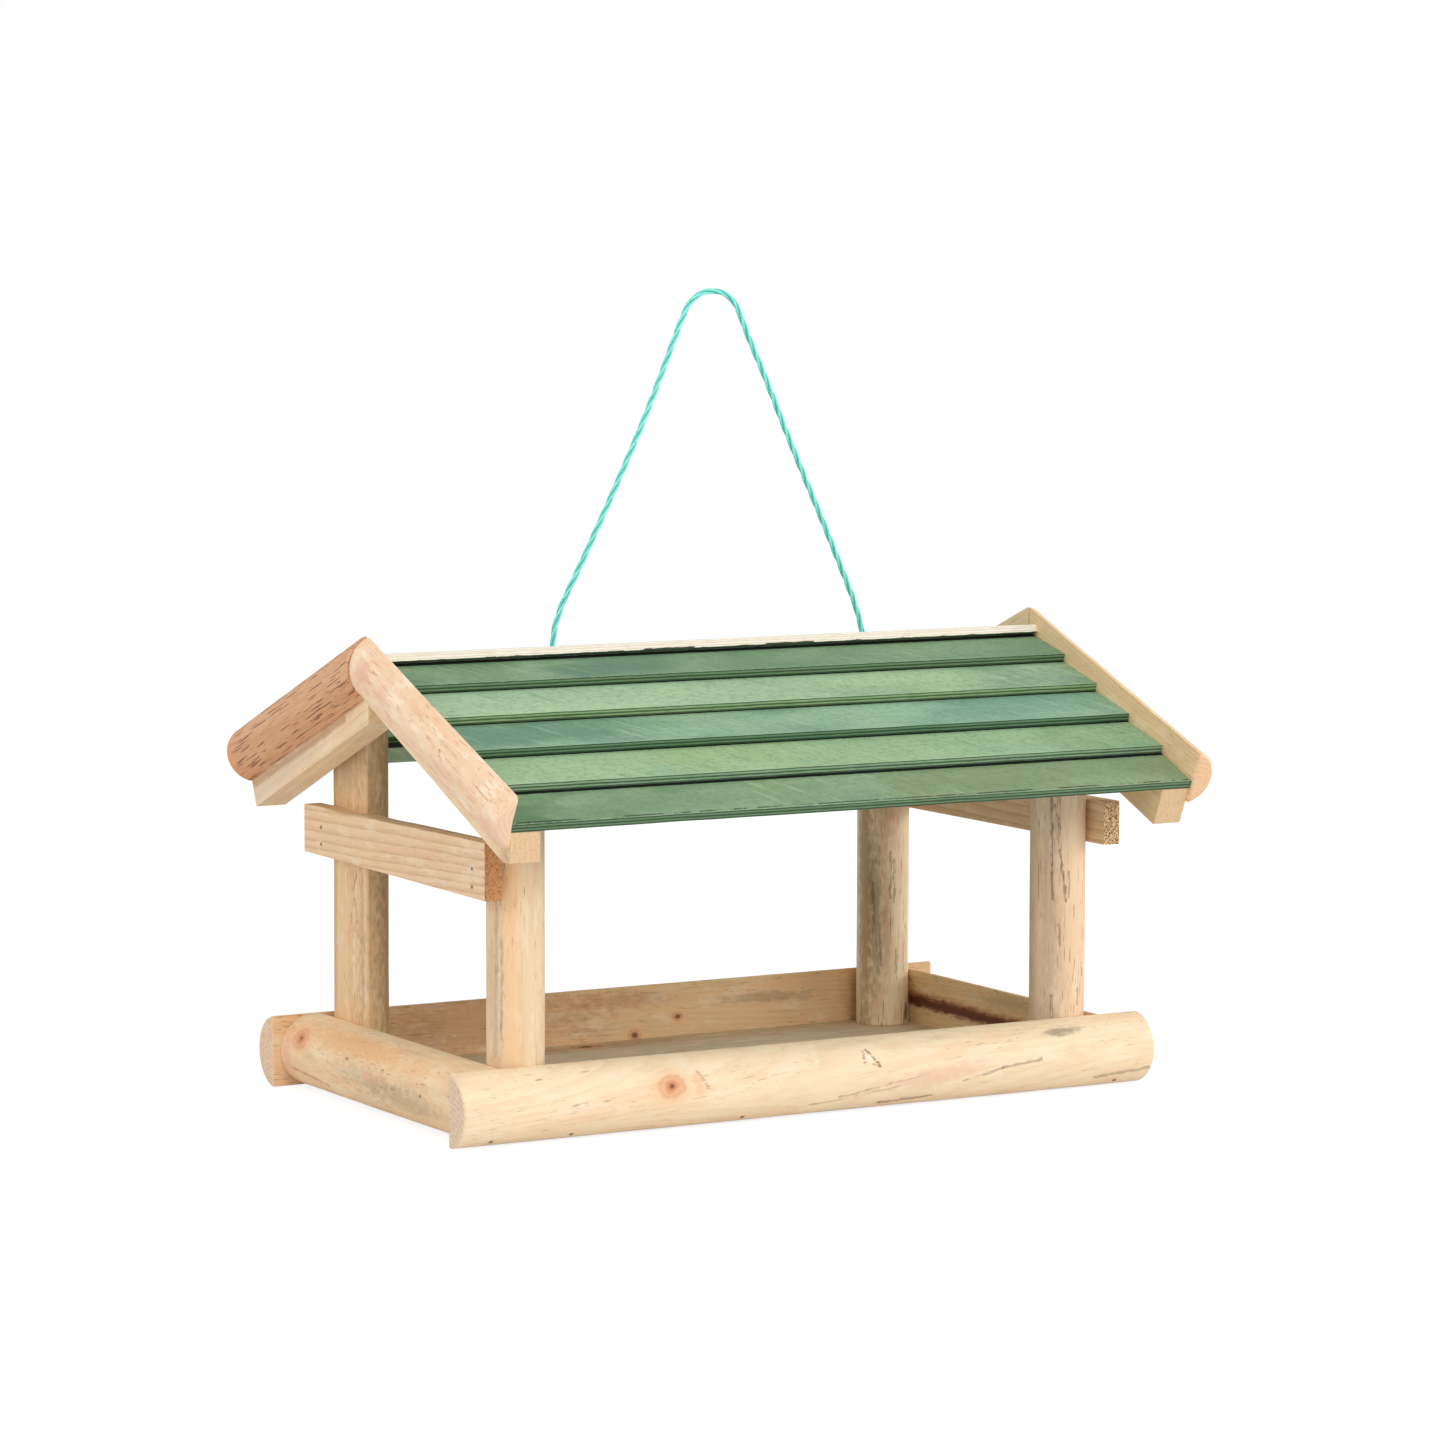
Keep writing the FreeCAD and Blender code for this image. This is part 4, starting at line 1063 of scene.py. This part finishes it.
def stain(name, corner, upSlope, square, seed, look, covered, ragged=0.0, cream=None, torn=()):
    # The board's own directions: along the ridge, up from the lower edge, and through its layers.
    tones = boardTones
    ply = Recipe(bpy.data.materials.new(name))
    rel = ply.vector("SUBTRACT", ply.place(), np.array(corner, float))
    x, up, deep = (ply.along(rel, way) for way in ((1, 0, 0), upSlope, square))
    layer = deep / boardSizes["thick"]
    cloud = ply.noise(ply.spot(x * 10 + seed, up * 24, seed), 4.0, 0.6)
    wash = ply.noise(ply.spot(x * 6 - seed, up * 18 + seed, seed), 3.0, 0.5)
    shade = ply.noise(ply.spot(x * 7 + seed, up * 20 - seed, seed), 4.0, 0.65)
    mottle = ply.noise(ply.spot(x * 260, up * 380, deep * 400 + seed), 3.0, 0.7)
    fibre = ply.noise(ply.spot(x * 60 + seed, up * 1100, deep * 1100), 3.0, 0.65)
    slant = ply.noise(ply.spot((x + up * 0.8) * 300, (up - x * 0.8) * 22 + seed, seed), 3.0, 0.6)
    colour = ply.layered(
        look["base"],
        (ply.step(cloud, 0.42, 0.64), look["teal"], tones["teal"]),
        (ply.step(wash, 0.46, 0.70), look["straw"], tones["straw"]),
        (ply.step(shade, 0.42, 0.66), look["dark"], tones["dark"]))
    for middle, half, tone, amount in look["fields"]:
        field = ply.band(x + (shade - 0.5) * 0.12, middle, half, 0.03) * ply.step(cloud, 0.30, 0.60)
        colour = ply.blend(field * amount, colour, tones[tone])
    colour = ply.layered(
        colour,
        (ply.step(mottle, 0.44, 0.70), 0.38, tones["dark"]),
        (ply.step(fibre, 0.48, 0.75), 0.25, tones["dark"]),
        (ply.step(slant, 0.54, 0.70) * ply.step(wash, 0.36, 0.56), 0.3, tones["worn"]),
        (ply.step(slant, 0.44, 0.30) * ply.step(cloud, 0.36, 0.56), 0.35, tones["dark"]),
        (ply.band(up, 0.0004, 0.0003, 0.0012) * ply.step(mottle, 0.45, 0.65), 0.45, tones["worn"]))
    if ragged:
        # A broken dark line just above the lowest edge, where the stain has run and chipped
        rim = ply.band(up + (mottle - 0.5) * 0.0012, 0.0021, 0.0003, 0.0006)
        broken = ply.step(ply.noise(ply.spot(x * 55, seed, 0.0), 3.0, 0.7), 0.42, 0.5)
        colour = ply.blend(rim * broken * ragged, colour, tones["line"])
    # Painted shade: the next board's shadow, and a near-black painted shadow in the gap under its edge
    shadow = boardSizes["shadow"]
    dim = ply.step(up, covered - 4 * shadow, covered - shadow)
    colour = ply.blend(dim * 0.3, colour, tones["dark"])
    gap = ply.step(up + (mottle - 0.5) * 0.0008, covered - shadow, covered - 0.0006)
    colour = ply.blend(gap, colour, tones["gap"])
    # The edges: a dark glue line by each outer layer and one between, broken by coarse fibres
    coarse = ply.noise(ply.spot(x * 90 + seed, up * 90, deep * 900), 3.0, 0.7)
    edge = ply.blend(ply.step(coarse, 0.40, 0.7) * 0.5, look["edge"], tones["dark"])
    glue = [ply.band(layer + (coarse - 0.5) * 0.12, middle, 0.06, 0.09) for middle in boardSizes["glue"]]
    lines = glue[0].maths("MAXIMUM", glue[1]).maths("MAXIMUM", glue[2])
    edge = ply.blend(lines * boardSizes["glueShow"], edge, tones["line"])
    if cream is not None:
        # The upper edge was sawn after staining, and its lowest layer is torn away in places, where the
        # hollows are painted near-black as shade
        bare = ply.blend(ply.step(coarse, 0.45, 0.7) * 0.35, tones["cream"], tones["creamLine"])
        for middle in boardSizes["layers"]:
            line = ply.band(layer + (coarse - 0.5) * 0.1, middle, 0.01, 0.06)
            bare = ply.blend(line * 0.55, bare, tones["creamLine"])
        lowest = 1 - ply.step(layer + (coarse - 0.5) * 0.3, 0.14, 0.2)
        for start, end in torn:
            gone = ply.band(x, (start + end) / 2, (end - start) / 2, 0.002)
            bare = ply.blend(gone * lowest, bare, tones["gap"])
        # Painted shadow: a ragged near-black line along the bottom of the sawn edge
        underShade = 1 - ply.step(layer + (coarse - 0.5) * 0.5, 0.02, 0.06)
        bare = ply.blend(underShade, bare, tones["gap"])
        edge = ply.blend(ply.step(up, cream - 0.004, cream - 0.003), edge, bare)
    side = ply.step(layer, 0.01, 0.03) * (1 - ply.step(layer, 0.985, 0.995))
    colour = ply.blend(side, colour, edge)
    height = fibre * 0.4 + mottle * 0.3 - lines * side
    return ply.finish(colour, fibre * 0.15 + gap * 0.4 + 0.55, height, 0.0003, 0.5,
                      **{"Specular IOR Level": 0.2})


def boardPlan(number):
    # Where each board's underside starts and stops down the slope, and its tilt off it, so that
    # its lower edge lies on the next board.
    size = boardSizes
    plain = math.asin((size["thick"] + size["gap"]) / size["step"])
    onLast = math.atan((size["thick"] + size["gap"]) / (size["step"] + size["lap"]))
    lift = size["thick"] / math.cos(plain) + size["lap"] * math.tan(plain) + size["gap"]
    if number == 1:
        return size["start"], size["first"], math.atan(lift / (size["first"] - size["start"]))
    upper = size["first"] + (number - 2) * size["step"] - size["lap"]
    if number == 5:
        return upper, size["last"], 0.0
    return upper, size["first"] + (number - 1) * size["step"], onLast if number == 4 else plain


def roofBoard(name, node, number, back, seed):
    # A flat section with small round corners, laid by its lower edge and carried along the ridge.
    upper, lower, tilt = boardPlan(number)
    wide = (lower - upper) / math.cos(tilt)
    out, high = onSlope(lower, boardSizes["gap"] + (lower - upper) * math.tan(tilt))
    slant = roof["pitch"] - tilt
    way = 1 if back else -1
    corner = np.array([0.0, way * out, high])
    upSlope = np.array([0.0, -way * math.cos(slant), math.sin(slant)])
    square = np.array([0.0, way * math.sin(slant), math.cos(slant)])
    low, top = corners(node)
    outline = cornered([(0, 0), (wide, 0), (wide, boardSizes["thick"]), (0, boardSizes["thick"])],
                       boardSizes["corner"], boardSizes["spacing"])
    covered = wide - boardSizes["hidden"][number]

    def put(form, run):
        # From the lower corner, up the board and square to it, with a slightly uneven lower edge.
        rough = 0.00025 * np.sin(run * 37 + seed) + 0.00015 * np.sin(run * 131 + 2 * seed)
        spot = corner + (form[:, :1] + np.maximum(rough, 0)[:, None] * (form[:, :1] < 0.002)) * upSlope
        spot = spot + form[:, 1:] * square
        spot[:, 0] = run
        return spot

    board = carried(name, outline, fixed(low[0]), fixed(top[0]), put, boardSizes["edge"], boardSizes["rows"])
    return dress(board, node, stain(name + "Stain", corner, upSlope, square, seed, boardLooks[number],
                                    covered, ragged=0.9 if number == 5 else 0.0))


for back, side in ((False, "front"), (True, "back")):
    for number in boardLooks:
        if not (back and number == 1):
            roofBoard("%sBoard%d" % (side, number), "roof_board_%s_%d" % (side, number), number, back,
                      3.7 * number + (20 if back else 0))

# The top board of the back slope keeps its own solid, with the rope's two holes
topRun = np.array(ropeRoute[1]) - np.array(ropeRoute[0])
topSquare = topRun / np.linalg.norm(topRun)
topUp = np.array([0.0, -topSquare[2], topSquare[1]])
topLow, topHigh = corners("roof_board_back_1")
topCorner = np.array([0.0, topHigh[1] - boardSizes["thick"] * topSquare[1], topLow[2]])
topWide = (topLow[1] - topCorner[1]) / topUp[1]
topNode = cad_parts["roof_board_back_1"]
topNode.data.materials.clear()
topNode.data.materials.append(stain("backBoard1Stain", topCorner, topUp, topSquare, 31.0, boardLooks[1],
                                    covered=1.0, cream=topWide, torn=((-0.052, -0.018), (0.035, 0.068))))
print("roof boarded")


# Nails: small heads that stand a hair proud of the wood, on thin shanks

nailLook = {"head": 0.00115, "headHigh": 0.0008, "shank": 0.0008, "sides": 16, "proud": 0.0001,
            "railProud": 0.0004, "railLong": 0.034, "battenLong": 0.026}


def nailPaint():
    steel = Recipe(bpy.data.materials.new("nailSteel"))
    tarnish = steel.noise(steel.scaled(steel.place(), 2500.0), 2.0)
    colour = steel.blend(steel.step(tarnish, 0.45, 0.7), paint(140, 110, 82), paint(84, 56, 38))
    return steel.finish(colour, tarnish * 0.3 + 0.4, tarnish, 0.0001, 0.4, Metallic=0.15)


def nails(name, node, spots, ways, faces, length, proud):
    # Rings round the nail's line, each a distance in and a radius. The head lies in the wood's own
    # face, the shank goes straight in.
    look = nailLook
    head = [(0.0, look["head"] * 0.6), (look["headHigh"] * 0.1, look["head"] * 0.95),
            (look["headHigh"] * 0.4, look["head"]), (look["headHigh"], look["head"] * 0.9)]
    shank = [(look["headHigh"] * 3, look["shank"]), (length * 0.9, look["shank"]),
             (length, look["shank"] * 0.2)]
    around = np.linspace(0, 2 * np.pi, look["sides"], endpoint=False)[:, None]

    def turned(start, way, profile):
        first = np.cross(way, (0, 0, 1.0))
        first /= np.linalg.norm(first)
        second = np.cross(way, first)
        return [start + way * d + r * (np.cos(around) * first + np.sin(around) * second) for d, r in profile]

    shells = []
    for spot, way, face in zip(*(np.array(rows, float) for rows in (spots, ways, faces))):
        start = spot - face * proud
        rings = turned(start, face, head) + turned(start, way, shank)
        shells.append((np.array(rings), np.array([start, start + way * length])))
    return dress(closedMesh(name, shells), node, nailFinish)


nailFinish = nailPaint()
railWays = [(0, -math.copysign(1, y), 0) for x, y, z in railSpots]
railFaces = [(0, (math.copysign(railLook["longAt"], y) - y) / railLook["radius"],
              1 - z / railLook["radius"]) for x, y, z in railSpots]
battenWays = [(1, 0, 0)] * len(leftSpots) + [(-1, 0, 0)] * len(rightSpots)
nails("railNails", "rail_nails", railSpots, railWays, railFaces, nailLook["railLong"], nailLook["railProud"])
nails("battenNails", "batten_nails", leftSpots + rightSpots, battenWays, battenWays, nailLook["battenLong"],
      nailLook["proud"])
print("nails set")


# Studio: pale floor, white surroundings, a broad lamp at the front and a fill at each side

studio = {"ambient": 0.63, "floor": 0.86, "glow": 1.27, "glowShare": 0.65, "half": 9.0, "low": -0.0004}
lamps = [  # name, place, aimed at, size, power
    ("frontLamp", (-0.4, -3.2, 2.0), (0, 0, 0.15), 1.8, 45),
    ("rightLamp", (3.0, -1.6, 0.9), (0, 0, 0.12), 1.2, 28),
    ("leftLamp", (-3.0, 0.0, 1.6), (0, 0, 0.15), 1.6, 17),
]

world = bpy.data.worlds.new("studioWorld")
bpy.context.scene.world = world
sky = Recipe(world)
lit = sky.add("ShaderNodeBackground", {}, {"Color": (1, 1, 1, 1), "Strength": studio["ambient"]})
shown = sky.add("ShaderNodeBackground", {}, {"Color": (1, 1, 1, 1), "Strength": 1.0})
both = sky.add("ShaderNodeMixShader", {}, {0: sky.seen(), 1: lit, 2: shown})
sky.add("ShaderNodeOutputWorld", {}, {0: both})

ground = Recipe(bpy.data.materials.new("studioFloor"))
matt = ground.add("ShaderNodeBsdfDiffuse", {}, {"Color": (studio["floor"],) * 3 + (1,)})
glow = ground.add("ShaderNodeEmission", {}, {"Color": (1, 1, 1, 1), "Strength": studio["glow"]})
both = ground.add("ShaderNodeMixShader", {}, {0: ground.seen() * studio["glowShare"], 1: matt, 2: glow})
ground.add("ShaderNodeOutputMaterial", {}, {0: both})
floorMesh = bpy.data.meshes.new("studioFloor")
turns = ((-1, -1), (1, -1), (1, 1), (-1, 1))
floorMesh.from_pydata([(x * studio["half"], y * studio["half"], studio["low"]) for x, y in turns],
                      [], [(0, 1, 2, 3)])
floorMesh.materials.append(ground.holder)
floor = bpy.data.objects.new("studioFloor", floorMesh)
bpy.context.scene.collection.objects.link(floor)
floor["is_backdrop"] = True

for name, place, aim, size, power in lamps:
    lamp = bpy.data.lights.new(name, "AREA")
    lamp.shape = "DISK"
    lamp.size = size
    lamp.energy = power
    holder = bpy.data.objects.new(name, lamp)
    bpy.context.scene.collection.objects.link(holder)
    way = np.array(aim) - np.array(place)
    holder.location = place
    holder.rotation_euler = (math.atan2(math.hypot(way[0], way[1]), -way[2]), 0, math.atan2(-way[0], way[1]))
print("studio lit")

boxes = {"cad": cadBox, "visual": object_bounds()}
{key: [[float(n) for n in corner] for corner in box] for key, box in boxes.items()}
